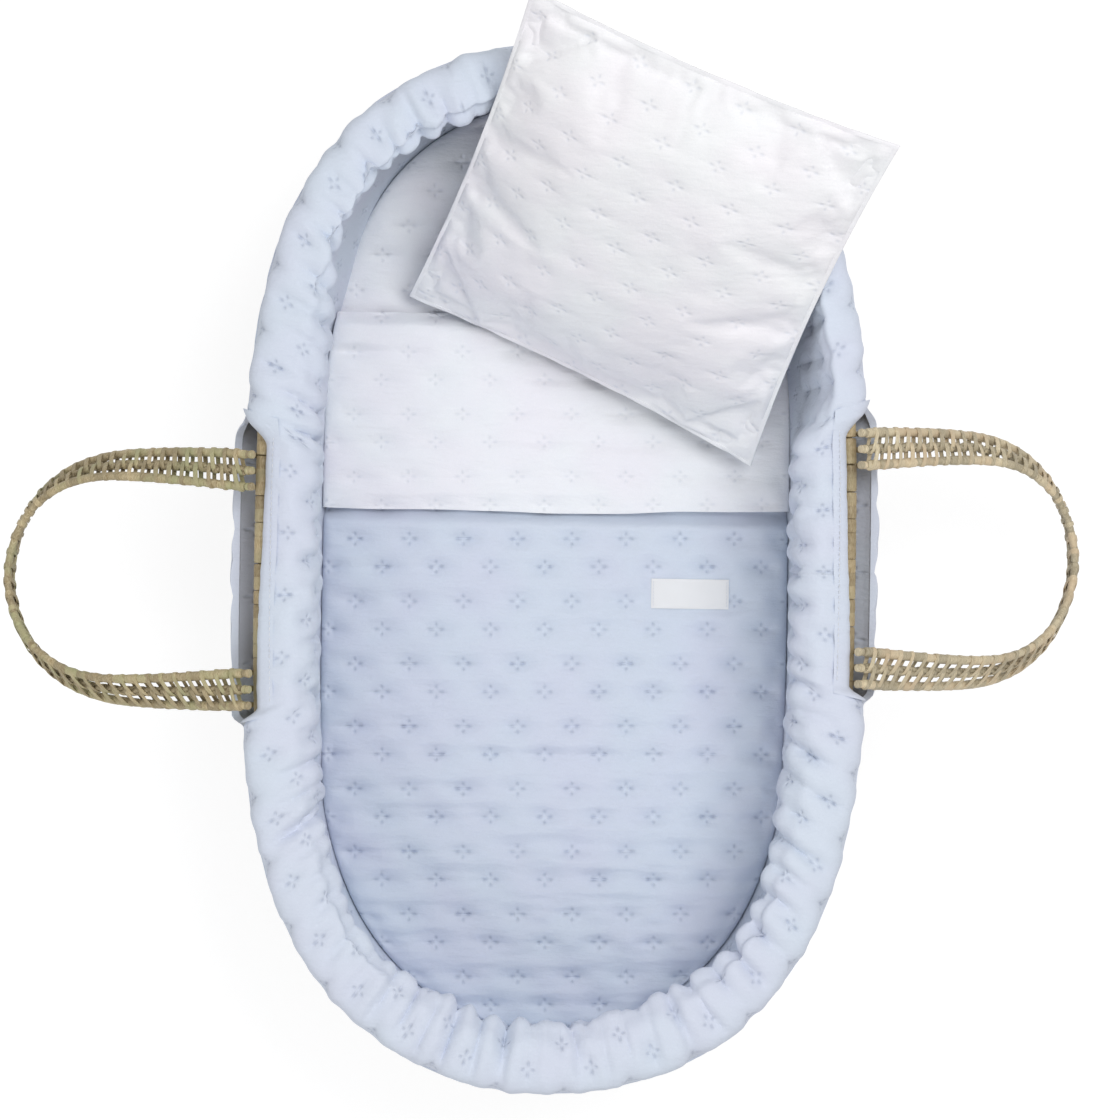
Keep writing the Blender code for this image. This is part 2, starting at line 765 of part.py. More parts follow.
def make_mattress_cover(stations, finish):
    """The quilted case, a shell that is open below over its board."""
    edge = mattress_rim()
    floor = BASE_THICKNESS + SEAT_GAP
    depth = MATTRESS_TOP - floor
    foot = [(edge - BOARD_INSET / 2, floor), (edge, floor + depth * MATTRESS_FOOT_SHARE)]
    dome = [
        (edge - MATTRESS_SHOULDER * inset, floor + depth * rise) for inset, rise in MATTRESS_SHOULDER_SHARES
    ]
    levels = foot + dome
    inner = [(offset - COVER_CLOTH, height) for offset, height in foot]
    inner += [(offset - COVER_CLOTH, height - COVER_CLOTH) for offset, height in dome]
    shape = bmesh.new()
    outer_rings = lay_rings(shape, stations, levels)
    inner_rings = lay_rings(shape, stations, inner)
    bridge(shape, outer_rings)
    bridge(shape, inner_rings)
    bridge(shape, [outer_rings[0], inner_rings[0]])
    shape.faces.new(outer_rings[-1])
    shape.faces.new(inner_rings[-1])
    return mesh_piece("mattress_cover", shape, finish)


def make_mattress_foam(stations, finish):
    """The foam core between the board and the case."""
    edge = mattress_rim()
    floor = BASE_THICKNESS + SEAT_GAP + BOARD_THICKNESS + SEAT_GAP
    inset = COVER_CLOTH + SOFT_GAP
    depth = MATTRESS_TOP - inset - floor
    levels = [(edge - BOARD_INSET, floor), (edge - BOARD_INSET, floor + depth * 0.2)]
    levels += [
        (edge - inset - BOARD_INSET / 2 - MATTRESS_SHOULDER * share, floor + depth * rise)
        for share, rise in MATTRESS_SHOULDER_SHARES
    ]
    shape = bmesh.new()
    rings = lay_rings(shape, stations, levels)
    bridge(shape, rings)
    shape.faces.new(rings[0])
    shape.faces.new(rings[-1])
    return mesh_piece("mattress_foam", shape, finish)


def make_mattress_board(stations, finish):
    """The board that closes the case below and lies on the basket's floor."""
    floor = BASE_THICKNESS + SEAT_GAP
    edge = mattress_rim() - BOARD_INSET / 2 - COVER_CLOTH - SOFT_GAP
    shape = bmesh.new()
    rings = lay_rings(shape, stations, ((edge, floor), (edge, floor + BOARD_THICKNESS)))
    bridge(shape, rings)
    shape.faces.new(rings[0])
    shape.faces.new(rings[-1])
    return mesh_piece("mattress_board", shape, finish)


# Coverlet, turned-down band and label


def coverlet_reach(along, height):
    """Half the width of the coverlet at a place along the basket, inside the padding."""
    share = min(1.0, abs(along) / PAD_HALF_LENGTH)
    padding = PAD_HALF_WIDTH * (1.0 - share**OVAL_POWER_ALONG) ** (1.0 / OVAL_POWER_ACROSS)
    return min(padding - LINER_SCALLOP - MATTRESS_CLEARANCE, width_at(along, mattress_rim(), height))


def quilt(name, rows, low, high, floor, top_at, finish):
    """A tufted pad with a flat underside, cut to the oval: reach is taken at its low and high edges."""
    step = TUFT_PITCH_ACROSS / 2
    columns = math.ceil(coverlet_reach(0.0, high) / step)
    shape = bmesh.new()
    top, bottom = [], []
    for rank, along in enumerate(rows):
        reach, low_reach = coverlet_reach(along, high), coverlet_reach(along, low)
        top_row, bottom_row = [], []
        for column in range(-columns, columns + 1):
            across = column * step
            if abs(across) > reach - step / 4:
                across = math.copysign(reach, across)
            tufted = (column + rank) % 2 == 0 and abs(across) < reach - step / 2 and 0 < rank < len(rows) - 1
            height = top_at(across, along, reach - abs(across), tufted)
            top_row.append(shape.verts.new((across, along, height)))
            bottom_row.append((max(-low_reach, min(low_reach, across)), along, floor))
        top.append(top_row)
        bottom.append(bottom_row)
    last = len(rows) - 1
    side = 2 * columns
    loop = [(0, column) for column in range(side + 1)]
    loop += [(rank, side) for rank in range(1, last + 1)]
    loop += [(last, column) for column in reversed(range(side))]
    loop += [(rank, 0) for rank in reversed(range(1, last))]
    below = [shape.verts.new(bottom[rank][column]) for rank, column in loop]
    for rank in range(last):
        for column in range(side):
            shape.faces.new(
                (top[rank][column], top[rank][column + 1], top[rank + 1][column + 1], top[rank + 1][column])
            )
    for number, (rank, column) in enumerate(loop):
        following = (number + 1) % len(loop)
        next_rank, next_column = loop[following]
        shape.faces.new((top[rank][column], top[next_rank][next_column], below[following], below[number]))
    shape.faces.new(below)
    bmesh.ops.remove_doubles(shape, verts=shape.verts, dist=MERGE_GAP)
    return mesh_piece(name, shape, finish)


def rows_between(start, end, pitch):
    """Evenly spaced rows from a start down to an end, as near to a pitch as they divide."""
    count = max(1, round((start - end) / pitch))
    return [start - (start - end) * number / count for number in range(count + 1)]


def label_patch(across, along):
    """Whether a place lies on the flat patch under the label."""
    near_across = abs(across - LABEL_ACROSS) < LABEL_WIDTH / 2 + TUFT_PITCH_ACROSS / 2
    near_along = abs(along - LABEL_ALONG) < LABEL_LENGTH / 2 + TUFT_PITCH_ALONG
    return near_across and near_along


def make_coverlet(finish):
    """The padded coverlet, flat under its band, tufted and fuller toward the foot."""
    floor = MATTRESS_TOP + SOFT_GAP

    def top_at(across, along, margin, tufted):
        if along >= BAND_FOOT - MERGE_GAP:
            full = BAND_SEAT_LOFT
        elif label_patch(across, along):
            return floor + COVERLET_LOFT
        else:
            full = COVERLET_LOFT + COVERLET_FOOT_PUFF * (BAND_FOOT - along) / (BAND_FOOT + COVERLET_FOOT)
        margin = min(margin, along + COVERLET_FOOT)
        rise = math.sin(math.pi / 2 * min(1.0, margin / COVERLET_ROUNDING))
        height = floor + COVERLET_EDGE + (full - COVERLET_EDGE) * rise
        return height - (TUFT_DEPTH if tufted and along < BAND_FOOT - MERGE_GAP else 0.0)

    start = BAND_FOOT - TUFT_PITCH_ALONG / 3
    rows = rows_between(COVERLET_HEAD, BAND_FOOT, TUFT_PITCH_ALONG * 4)
    rows += rows_between(start, -COVERLET_FOOT + TUFT_PITCH_ALONG * 0.7, TUFT_PITCH_ALONG)
    rows += [-COVERLET_FOOT + TUFT_PITCH_ALONG * 0.25, -COVERLET_FOOT]
    return quilt("coverlet", rows, MATTRESS_TOP, floor + COVERLET_EDGE, floor, top_at, finish)


def make_band(finish):
    """The white head end of the coverlet, turned back over it."""
    floor = MATTRESS_TOP + SOFT_GAP + BAND_SEAT_LOFT + SOFT_GAP

    def top_at(across, along, margin, tufted):
        margin = min(margin, BAND_HEAD - along, along - BAND_FOOT)
        rise = math.sin(math.pi / 2 * min(1.0, max(0.0, margin) / TUFT_PITCH_ALONG))
        return floor + BAND_EDGE + (BAND_LOFT - BAND_EDGE) * rise - (TUFT_DEPTH / 2 if tufted else 0.0)

    rows = rows_between(BAND_HEAD, BAND_FOOT + SOFT_GAP, TUFT_PITCH_ALONG)
    return quilt("turned_down_band", rows, floor, floor + BAND_EDGE, floor, top_at, finish)


def make_label(finish):
    """The woven label sewn to the coverlet, left bare."""
    floor = MATTRESS_TOP + SOFT_GAP + COVERLET_LOFT + SEAT_GAP
    shape = bmesh.new()
    bmesh.ops.create_cube(shape, size=1.0)
    bmesh.ops.scale(shape, vec=(LABEL_WIDTH, LABEL_LENGTH, LABEL_THICKNESS), verts=shape.verts)
    middle = Vector((LABEL_ACROSS, LABEL_ALONG, floor + LABEL_THICKNESS / 2))
    bmesh.ops.translate(shape, vec=middle, verts=shape.verts)
    return mesh_piece("coverlet_label", shape, finish, smooth=False)


# Pillow


def pillow_waist(share):
    """How far the middle of a side is drawn in, as a factor."""
    return 1.0 - PILLOW_WAIST_SHARE * (1.0 - share * share)


def pillow_edge(u, v, growth):
    """A place in the plan of the pillow, whose corners stand out as ears."""
    across = u * (PILLOW_WIDTH / 2 + growth) * pillow_waist(v)
    along = v * (PILLOW_LENGTH / 2 + growth) * pillow_waist(u)
    return across, along


def sagged(across, along, height, v):
    """A place on the tilted pillow after its foot side has sunk straight down."""
    drop = PILLOW_SAG * ((1.0 - v) / 2.0) ** 2
    return across, along - drop * math.sin(PILLOW_RISE), height - drop * math.cos(PILLOW_RISE)


def pillow_skin(shape, cells, inset, face, tufts):
    """One face of the pillow, up or down, as a grid of vertices."""
    grid = []
    for rank in range(cells + 1):
        row = []
        for column in range(cells + 1):
            u, v = 2.0 * column / cells - 1.0, 2.0 * rank / cells - 1.0
            across, along = pillow_edge(u, v, -inset)
            loft = PILLOW_HALF_LOFT * math.sqrt((1.0 - u * u) * (1.0 - v * v))
            inside = 0 < rank < cells and 0 < column < cells
            dip = TUFT_DEPTH / 2 if tufts and inside and (rank + column) % 2 else 0.0
            height = PILLOW_SEAM - min(inset, PILLOW_CLOTH) + loft - dip
            if not tufts:
                height *= FILLING_SHARE
            row.append(shape.verts.new(sagged(across, along, face * height, v)))
        grid.append(row)
    for rank in range(cells):
        for column in range(cells):
            near, far = grid[rank], grid[rank + 1]
            shape.faces.new((near[column], near[column + 1], far[column + 1], far[column]))
    return grid


def grid_edge(cells):
    """The ranks and columns round a square grid, starting on its foot side."""
    loop = [(0, column) for column in range(cells)]
    loop += [(rank, cells) for rank in range(cells)]
    loop += [(cells, column) for column in range(cells, 0, -1)]
    loop += [(rank, 0) for rank in range(cells, 0, -1)]
    return loop


def make_pillow_case(carrier, finish):
    """The pillow case, a thin shell that is open in its foot seam where it is filled."""
    shape = bmesh.new()
    skins = []
    for inset in (0.0, PILLOW_CLOTH):
        upper = pillow_skin(shape, PILLOW_CELLS, inset, 1, True)
        lower = pillow_skin(shape, PILLOW_CELLS, inset, -1, True)
        skins.append((upper, lower))
    loop = grid_edge(PILLOW_CELLS)
    first, last = PILLOW_CELLS // 4, PILLOW_CELLS - PILLOW_CELLS // 4
    for upper, lower in skins:
        for number, (rank, column) in enumerate(loop):
            if rank == 0 and first <= column < last:
                continue
            next_rank, next_column = loop[(number + 1) % len(loop)]
            shape.faces.new(
                (
                    upper[rank][column],
                    lower[rank][column],
                    lower[next_rank][next_column],
                    upper[next_rank][next_column],
                )
            )
    mouths = [
        [upper[0][column] for column in range(first, last + 1)]
        + [lower[0][column] for column in range(last, first - 1, -1)]
        for upper, lower in skins
    ]
    bridge(shape, mouths)
    case = mesh_piece("pillow_case", shape, finish)
    case.parent = carrier
    return case


def make_pillow_filling(carrier, finish):
    """The filling, a plain cushion that fits inside the case."""
    shape = bmesh.new()
    inset = PILLOW_CLOTH + FILLING_GAP
    grids = [pillow_skin(shape, FILLING_CELLS, inset + FILLING_INSET, face, False) for face in (1, -1)]
    loop = grid_edge(FILLING_CELLS)
    rims = [[grid[rank][column] for rank, column in loop] for grid in grids]
    bridge(shape, rims)
    filling = mesh_piece("pillow_filling", shape, finish)
    filling.parent = carrier
    return filling


def make_pillow_seam(carrier, finish):
    """The flat flange sewn round the edge of the pillow."""
    half = PILLOW_SEAM / 2
    near, far = SEAT_GAP, SEAT_GAP + PILLOW_FLANGE
    sections = []
    for rank, column in grid_edge(PILLOW_CELLS):
        u, v = 2.0 * column / PILLOW_CELLS - 1.0, 2.0 * rank / PILLOW_CELLS - 1.0
        inner, outer = pillow_edge(u, v, near), pillow_edge(u, v, far)
        corners = ((inner, half), (outer, half), (outer, -half), (inner, -half))
        sections.append([sagged(*plan, height, v) for plan, height in corners])
    shape = bmesh.new()
    loft(shape, sections)
    seam = mesh_piece("pillow_seam", shape, finish)
    seam.parent = carrier
    return seam


# The whole basket


def carrier_at(name, place_at, turned=(0.0, 0.0, 0.0)):
    """An empty that carries pieces which move together."""
    empty = bpy.data.objects.new(name, None)
    empty.location = place_at
    empty.rotation_euler = turned
    bpy.data.collections["moses_basket"].objects.link(empty)
    return empty


def carried(piece, carrier):
    """Parents a piece to its carrier and leaves it where it is."""
    piece.parent = carrier
    piece.matrix_parent_inverse = Matrix.Translation(-carrier.location)


def make_handle(side, word, straw, braid):
    """A handle: two edge cords and a laced middle braid that swing together."""
    pivot = hinge(word + "_handle_hinge", side)
    make_cord(word + "_handle_outer_cord", side, STRAP_CORD_PITCH, pivot, straw)
    make_cord(word + "_handle_inner_cord", side, -STRAP_CORD_PITCH, pivot, straw)
    make_braid(word + "_handle_braid", side, pivot, braid)
    foot_leg, head_leg = leg_places(side)
    for end, along in (("head", head_leg), ("foot", foot_leg)):
        make_anchor(word + "_" + end + "_anchor", side, along, straw)
        make_lashing(word + "_" + end + "_lashing", side, along, braid)


def main():
    clear_scene()
    parts = bpy.data.collections.new("moses_basket")
    bpy.context.scene.collection.children.link(parts)

    straw = material("natural_straw", (0.508, 0.403, 0.238), 0.72)
    olive_straw = material("olive_straw", (0.46, 0.42, 0.27), 0.75)
    pale_straw = material("pale_straw", (0.66, 0.58, 0.42), 0.72)
    wicker = material("woven_wall", (0.42, 0.31, 0.17), 0.78)
    blue_cotton = material("blue_cotton", (0.63, 0.69, 0.79), 0.85, 0.2)
    white_cotton = material("white_cotton", (0.80, 0.82, 0.85), 0.85, 0.2)
    label_cloth = material("label_cloth", (0.77, 0.78, 0.79), 0.8)
    foam = material("foam", (0.80, 0.76, 0.62), 0.95)
    board = material("fibre_board", (0.36, 0.26, 0.16), 0.8)
    elastic = material("elastic_tape", (0.75, 0.75, 0.75), 0.8)

    stations = ring_stations()
    make_base(stations, wicker)
    make_wall(stations, wicker)
    make_rim_core(stations, straw)
    make_rim_wrap(stations, straw)
    make_bumper(stations, blue_cotton)
    make_skirt(stations, blue_cotton)
    make_elastic(stations, elastic)
    make_binding("left_slot_binding", LEFT, stations, blue_cotton)
    make_binding("right_slot_binding", RIGHT, stations, blue_cotton)
    make_handle(LEFT, "left", olive_straw, straw)
    make_handle(RIGHT, "right", pale_straw, straw)

    mattress_stations = even_stations(MATTRESS_STATIONS)
    lift = carrier_at("mattress_lift", (0.0, 0.0, BASE_THICKNESS))
    carried(make_mattress_cover(mattress_stations, white_cotton), lift)
    carried(make_mattress_foam(mattress_stations, foam), lift)
    carried(make_mattress_board(mattress_stations, board), lift)

    lift = carrier_at("coverlet_lift", (0.0, 0.0, MATTRESS_TOP))
    carried(make_coverlet(blue_cotton), lift)
    carried(make_band(white_cotton), lift)
    carried(make_label(label_cloth), lift)

    middle = (PILLOW_CENTRE_ACROSS, PILLOW_CENTRE_ALONG, PILLOW_CENTRE_HEIGHT)
    lift = carrier_at("pillow_lift", middle, (PILLOW_RISE, PILLOW_ROLL, PILLOW_TURN))
    make_pillow_case(lift, white_cotton)
    make_pillow_filling(lift, white_cotton)
    make_pillow_seam(lift, white_cotton)


main()
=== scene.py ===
"""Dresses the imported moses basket: quilted cotton, straw rim and plaited handles, on a pale floor.

Units are metres. +Z is up, +Y is the head end and the origin is the centre of the underside.
"""

import math

import bmesh
import bpy
import numpy as np
from mathutils import Matrix, Vector


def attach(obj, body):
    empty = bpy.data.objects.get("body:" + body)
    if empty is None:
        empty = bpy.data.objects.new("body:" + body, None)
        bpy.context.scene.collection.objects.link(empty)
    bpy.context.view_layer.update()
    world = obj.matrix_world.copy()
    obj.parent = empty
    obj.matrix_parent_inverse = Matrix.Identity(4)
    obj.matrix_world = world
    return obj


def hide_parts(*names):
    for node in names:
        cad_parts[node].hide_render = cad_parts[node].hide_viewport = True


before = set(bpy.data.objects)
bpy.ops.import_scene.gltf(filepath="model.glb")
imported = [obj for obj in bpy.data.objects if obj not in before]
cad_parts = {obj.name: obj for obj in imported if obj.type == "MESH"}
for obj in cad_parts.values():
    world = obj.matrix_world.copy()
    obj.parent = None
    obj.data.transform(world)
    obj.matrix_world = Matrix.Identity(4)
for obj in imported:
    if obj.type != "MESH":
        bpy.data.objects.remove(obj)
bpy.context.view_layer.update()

bl_info = {
    "name": "Moses Basket",
    "version": (1, 0, 0),
    "blender": (4, 5, 0),
    "location": "3D View > Sidebar > Basket",
    "description": "Quilted cover, bedding, straw rim and plaited handles of a moses basket",
    "category": "Add Mesh",
}

# The basket's oval and its heights, as the solids have them
HALF_WIDTH = 0.230
HALF_LENGTH = 0.396
POWER_ACROSS = 2.0
POWER_ALONG = 3.4
WALL_TOP = 0.2407
WALL_THICKNESS = 0.005
FLARE_ACROSS = 0.042
FLARE_ALONG = 0.024
RIM_HEIGHT = 0.244
RIM_OFFSET = -0.0025
RIM_RADIUS = 0.006
BASE_THICKNESS = 0.006

# The quilted cloth: its tufts stand in staggered rows
TUFT_PITCH = 0.0438
ROW_PAIR = 0.0504
ROW_STEP = 0.0226


# Ovals


def oval_table(count=4000):
    """Unit points of the oval with the share of the rim's length at which each lies."""
    turn = np.linspace(0.0, 2.0 * math.pi, count + 1)
    c, s = np.abs(np.cos(turn)), np.abs(np.sin(turn))
    low, high = np.zeros_like(turn), np.full_like(turn, 2.0)
    for _ in range(50):
        reach = (low + high) / 2
        over = (reach * c) ** POWER_ACROSS + (reach * s) ** POWER_ALONG > 1.0
        high = np.where(over, reach, high)
        low = np.where(over, low, reach)
    x, y = low * np.cos(turn), low * np.sin(turn)
    steps = np.hypot(np.diff(x) * HALF_WIDTH, np.diff(y) * HALF_LENGTH)
    length = np.concatenate([[0.0], np.cumsum(steps)])
    return x, y, length


OVAL_X, OVAL_Y, OVAL_RUN = oval_table()
RIM_LENGTH = float(OVAL_RUN[-1])
# The tufts' rows run round the ring a whole number of times
RING_STRETCH = round(RIM_LENGTH / ROW_PAIR) * ROW_PAIR / RIM_LENGTH


def on_oval(run):
    """Unit points at distances along the rim, measured from the middle of the right side."""
    run = np.mod(run, RIM_LENGTH)
    return np.interp(run, OVAL_RUN, OVAL_X), np.interp(run, OVAL_RUN, OVAL_Y)


def rim_stations(count, shift=0.0):
    """Even distances round the rim, with their unit points."""
    run = (np.arange(count) + shift) * RIM_LENGTH / count
    return run, *on_oval(run)


def across_share(along):
    """How far the oval reaches across, as a share, at shares of its half length."""
    return (1.0 - np.abs(along) ** POWER_ALONG) ** (1.0 / POWER_ACROSS)


def lean(height):
    """How much of its flare the wall has lost at a height, from 0 at its top to 1 at the floor."""
    return np.maximum(0.0, 1.0 - height / WALL_TOP)


def oval_place(x, y, offset, height):
    """Points at a distance outside the wall's outer face, at a height."""
    across = (HALF_WIDTH + offset - FLARE_ACROSS * lean(height)) * x
    along = (HALF_LENGTH + offset - FLARE_ALONG * lean(height)) * y
    return np.stack(np.broadcast_arrays(across, along, height), axis=-1)


def oval_half_width(along, half_width, half_length):
    """Half the width of an oval at places along it."""
    share = np.clip(np.abs(along) / half_length, 0.0, 1.0)
    return half_width * across_share(share)


# Noise, curves and grids


def eased(share):
    """A share from 0 to 1 with a slow start and a slow end."""
    return share * share * (3 - 2 * share)


def lattice(ix, iy, seed):
    """A fixed pseudo-random number from 0 to 1 for each whole-numbered place."""
    mixed = ix * 127.1 + iy * 311.7 + seed * 74.7
    value = np.sin(mixed) * 43758.5453
    return value - np.floor(value)


def noise2(x, y, seed=0.0):
    """Smooth noise from -1 to 1 with features about one unit across."""
    ix, iy = np.floor(x), np.floor(y)
    fx, fy = x - ix, y - iy
    sx, sy = eased(fx), eased(fy)
    low = lattice(ix, iy, seed) * (1 - sx) + lattice(ix + 1, iy, seed) * sx
    high = lattice(ix, iy + 1, seed) * (1 - sx) + lattice(ix + 1, iy + 1, seed) * sx
    return 2.0 * (low * (1 - sy) + high * sy) - 1.0


def fractal(x, y, seed=0.0, octaves=3):
    """Noise of several sizes added together."""
    total, gain = 0.0, 1.0
    for octave in range(octaves):
        total = total + gain * noise2(x * 2**octave + 13.7 * octave, y * 2**octave, seed + octave)
        gain *= 0.5
    return total


def ramp(value, start, end):
    """0 before the start, 1 after the end, eased between."""
    return eased(np.clip((value - start) / (end - start), 0.0, 1.0))


def unit(vectors):
    """The same directions with a length of one."""
    return vectors / np.linalg.norm(vectors, axis=-1, keepdims=True)


def run_along(points):
    """The distance of each point along their line."""
    return np.concatenate([[0.0], np.cumsum(np.linalg.norm(np.diff(points, axis=0), axis=1))])


def sampled(places, run, values):
    """Rows of values read at places along a run."""
    return np.stack([np.interp(places, run, values[:, k]) for k in range(values.shape[1])], axis=1)


def curve_point(a, b, c, d, t):
    """A place from b to c on a smooth curve that passes a before them and d after them."""
    return 0.5 * (2 * b + (c - a) * t + (2 * a - 5 * b + 4 * c - d) * t**2 + (3 * b - a - 3 * c + d) * t**3)


def smooth_line(points, count):
    """A smooth curve through points, with its new points at even distances."""
    points = np.asarray(points, float)
    padded = np.concatenate([2 * points[:1] - points[1:2], points, 2 * points[-1:] - points[-2:-1]])
    dense = []
    for a, b, c, d in zip(padded, padded[1:], padded[2:], padded[3:]):
        t = np.linspace(0.0, 1.0, 12, endpoint=False)[:, None]
        dense.append(curve_point(a, b, c, d, t))
    dense = np.concatenate(dense + [points[-1:]])
    run = run_along(dense)
    return sampled(np.linspace(0.0, run[-1], count), run, dense)


def grid_normals(points, wrap_first=False):
    """Unit normals of a grid of points, first axis across second."""
    if wrap_first:
        du = np.roll(points, -1, axis=0) - np.roll(points, 1, axis=0)
    else:
        du = np.gradient(points, axis=0)
    dv = np.gradient(points, axis=1)
    normal = np.cross(du, dv)
    return normal / np.maximum(np.linalg.norm(normal, axis=2, keepdims=True), 1e-12)


def grid_faces(rows, columns, start=0):
    """The quads of a grid whose vertices are numbered row by row."""
    r, c = np.meshgrid(np.arange(rows - 1), np.arange(columns - 1), indexing="ij")
    quads = np.stack([r * columns + c, (r + 1) * columns + c, (r + 1) * columns + c + 1, r * columns + c + 1], axis=-1)
    return quads.reshape(-1, 4) + start


def ring_faces(stations, count, closed=True):
    """The quads of outlines joined in a ring, or in a tube with a lid on each end."""
    r, c = np.meshgrid(np.arange(stations if closed else stations - 1), np.arange(count), indexing="ij")
    rn, cn = (r + 1) % stations, (c + 1) % count
    quads = np.stack([r * count + c, rn * count + c, rn * count + cn, r * count + cn], axis=-1).reshape(-1, 4)
    return quads if closed else [*quads, range(count), range((stations - 1) * count, stations * count)]


def pair_faces(rows, columns):
    """The quads of two like grids, of which the second is turned over."""
    return [*grid_faces(rows, columns), *(f[::-1] for f in grid_faces(rows, columns, start=rows * columns))]


def grid_border(rows, columns):
    """The numbers of the vertices once round a grid's edge."""
    border = [(0, c) for c in range(columns)] + [(r, columns - 1) for r in range(1, rows)]
    border += [(rows - 1, c) for c in reversed(range(columns - 1))] + [(r, 0) for r in reversed(range(1, rows - 1))]
    return np.array([r * columns + c for r, c in border])


def shell_faces(rows, columns):
    """The quads of two like grids joined round their edges."""
    size, border = rows * columns, grid_border(rows, columns)
    return pair_faces(rows, columns) + [(a, b, b + size, a + size) for a, b in zip(border, np.roll(border, -1))]


def linked(name, data):
    """An object in the scene for a mesh."""
    item = bpy.data.objects.new(name, data)
    bpy.context.scene.collection.objects.link(item)
    return item


def new_mesh(name, vertices, faces, uv=None, edges=()):
    """An object from arrays; uv holds one pair for each vertex, in metres of cloth."""
    data = bpy.data.meshes.new(name)
    data.from_pydata(np.asarray(vertices, float).tolist(), edges, [tuple(int(i) for i in f) for f in faces])
    data.update()
    if uv is not None:
        layer = data.uv_layers.new(name="cloth")
        corners = np.zeros(len(data.loops), np.int32)
        data.loops.foreach_get("vertex_index", corners)
        layer.data.foreach_set("uv", np.asarray(uv, np.float32)[corners].ravel())
    return linked(name, data)


def face_outwards(item):
    """Turns the faces of a closed shape outwards."""
    shape = bmesh.new()
    shape.from_mesh(item.data)
    bmesh.ops.recalc_face_normals(shape, faces=shape.faces)
    shape.to_mesh(item.data)
    shape.free()


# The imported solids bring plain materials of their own, so the finishes have longer names
FINISH_END = "_finish"


def finish_named(name):
    """One of the finishes, which are made before any piece."""
    return bpy.data.materials[name + FINISH_END]


def keep_node(name, finish):
    """Gives a solid that stays its finish."""
    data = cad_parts[name].data
    data.materials.clear()
    data.materials.append(finish_named(finish))


def finish_piece(item, finish, body, replaced=()):
    """Gives a piece its finish and shading, and hands it to the frame."""
    item.data.materials.clear()
    item.data.materials.append(finish)
    item.data.shade_smooth()
    item.data.set_sharp_from_angle(angle=math.radians(60.0))
    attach(item, body)
    if replaced:
        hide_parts(*replaced)
    return item


# Tufts of the quilted cloth


def tuft_places(u, v):
    """Distance across and along from each point to its nearest tuft, and that tuft's own number."""
    best = None
    for shift_u, shift_v, seed in ((0.0, 0.0, 1.0), (TUFT_PITCH / 2, ROW_STEP, 2.0)):
        column = np.round((u - shift_u) / TUFT_PITCH)
        row = np.round((v - shift_v) / ROW_PAIR)
        du = u - shift_u - column * TUFT_PITCH
        dv = v - shift_v - row * ROW_PAIR
        score = (du / TUFT_PITCH) ** 2 + (dv / ROW_STEP) ** 2
        number = lattice(column, row, seed)
        if best is None:
            best = [du, dv, number, score]
        else:
            nearer = score < best[3]
            best = [np.where(nearer, a, b) for a, b in zip((du, dv, number, score), best)]
    return best[0], best[1], best[2]


def tuft_relief(u, v, puff, crease=0.0007):
    """How far the cloth stands out between its tufts, from 0 at a tuft, with the petals pressed in."""
    du, dv, number = tuft_places(u, v)
    hollow = np.exp(-((du / 0.0135) ** 2) - (dv / 0.0066) ** 2)
    puffed = puff * (1.0 - (0.75 + 0.35 * number) * hollow)
    across, along = np.abs(du), np.abs(dv)
    petals = np.exp(-(((across - 0.0043) / 0.0024) ** 2) - (dv / 0.0012) ** 2)
    petals += np.exp(-((du / 0.0013) ** 2) - ((along - 0.0041) / 0.0015) ** 2)
    pull = np.exp(-((du / (0.010 + 0.008 * number)) ** 2) - (dv / 0.0016) ** 2)
    return puffed - crease * petals - crease * (0.4 + number) * pull


# Finishes


class Nodes:
    """A short hand for building one node tree."""

    def __init__(self, tree):
        self.tree = tree

    def add(self, kind, values=(), **settings):
        """A node with its settings and its inputs."""
        node = self.tree.nodes.new(kind)
        for name, setting in settings.items():
            setattr(node, name, setting)
        self.feed(node, dict(values))
        return node

    def feed(self, node, values):
        """Sets a node's inputs to values, and links those whose value is a socket."""
        for place, value in values.items():
            if isinstance(value, bpy.types.NodeSocket):
                self.tree.links.new(value, node.inputs[place])
            else:
                node.inputs[place].default_value = value

    def math(self, operation, first, second=0.0, third=0.0):
        values = {0: first, 1: second, 2: third}
        return self.add("ShaderNodeMath", values, operation=operation).outputs[0]

    def vector(self, operation, first, second=(0.0, 0.0, 0.0)):
        node = self.add("ShaderNodeVectorMath", {0: first, 1: second}, operation=operation)
        return node.outputs["Value"] if operation in ("DOT_PRODUCT", "LENGTH") else node.outputs[0]

    def mix(self, share, first, second):
        return self.add("ShaderNodeMix", {0: share, 6: first, 7: second}, data_type="RGBA").outputs[2]

    def spread(self, value, low=0.0, high=1.0, new_low=0.0, new_high=1.0):
        values = {0: value, 1: low, 2: high, 3: new_low, 4: new_high}
        return self.add("ShaderNodeMapRange", values).outputs[0]

    def wave(self, where, scale, direction, distortion=0.0):
        values = {"Vector": where, "Scale": scale, "Distortion": distortion}
        return self.add("ShaderNodeTexWave", values, bands_direction=direction).outputs[1]

    def noise(self, where, scale, detail=2.0, roughness=0.5):
        values = {"Vector": where, "Scale": scale, "Detail": detail, "Roughness": roughness}
        return self.add("ShaderNodeTexNoise", values).outputs[0]

    def bump(self, height, distance, strength=1.0, below=None):
        values = {"Height": height, "Distance": distance, "Strength": strength}
        if below is not None:
            values["Normal"] = below
        return self.add("ShaderNodeBump", values).outputs[0]

    def seen_rays(self):
        """1 for the rays that show a background: those of the camera, of gloss and through glass."""
        rays = self.add("ShaderNodeLightPath").outputs
        rest = self.math("MAXIMUM", rays["Is Glossy Ray"], rays["Is Transmission Ray"])
        return self.math("MAXIMUM", rays["Is Camera Ray"], rest)


def rgba(colour):
    """A colour with its fourth number."""
    return (*colour[:3], 1.0)


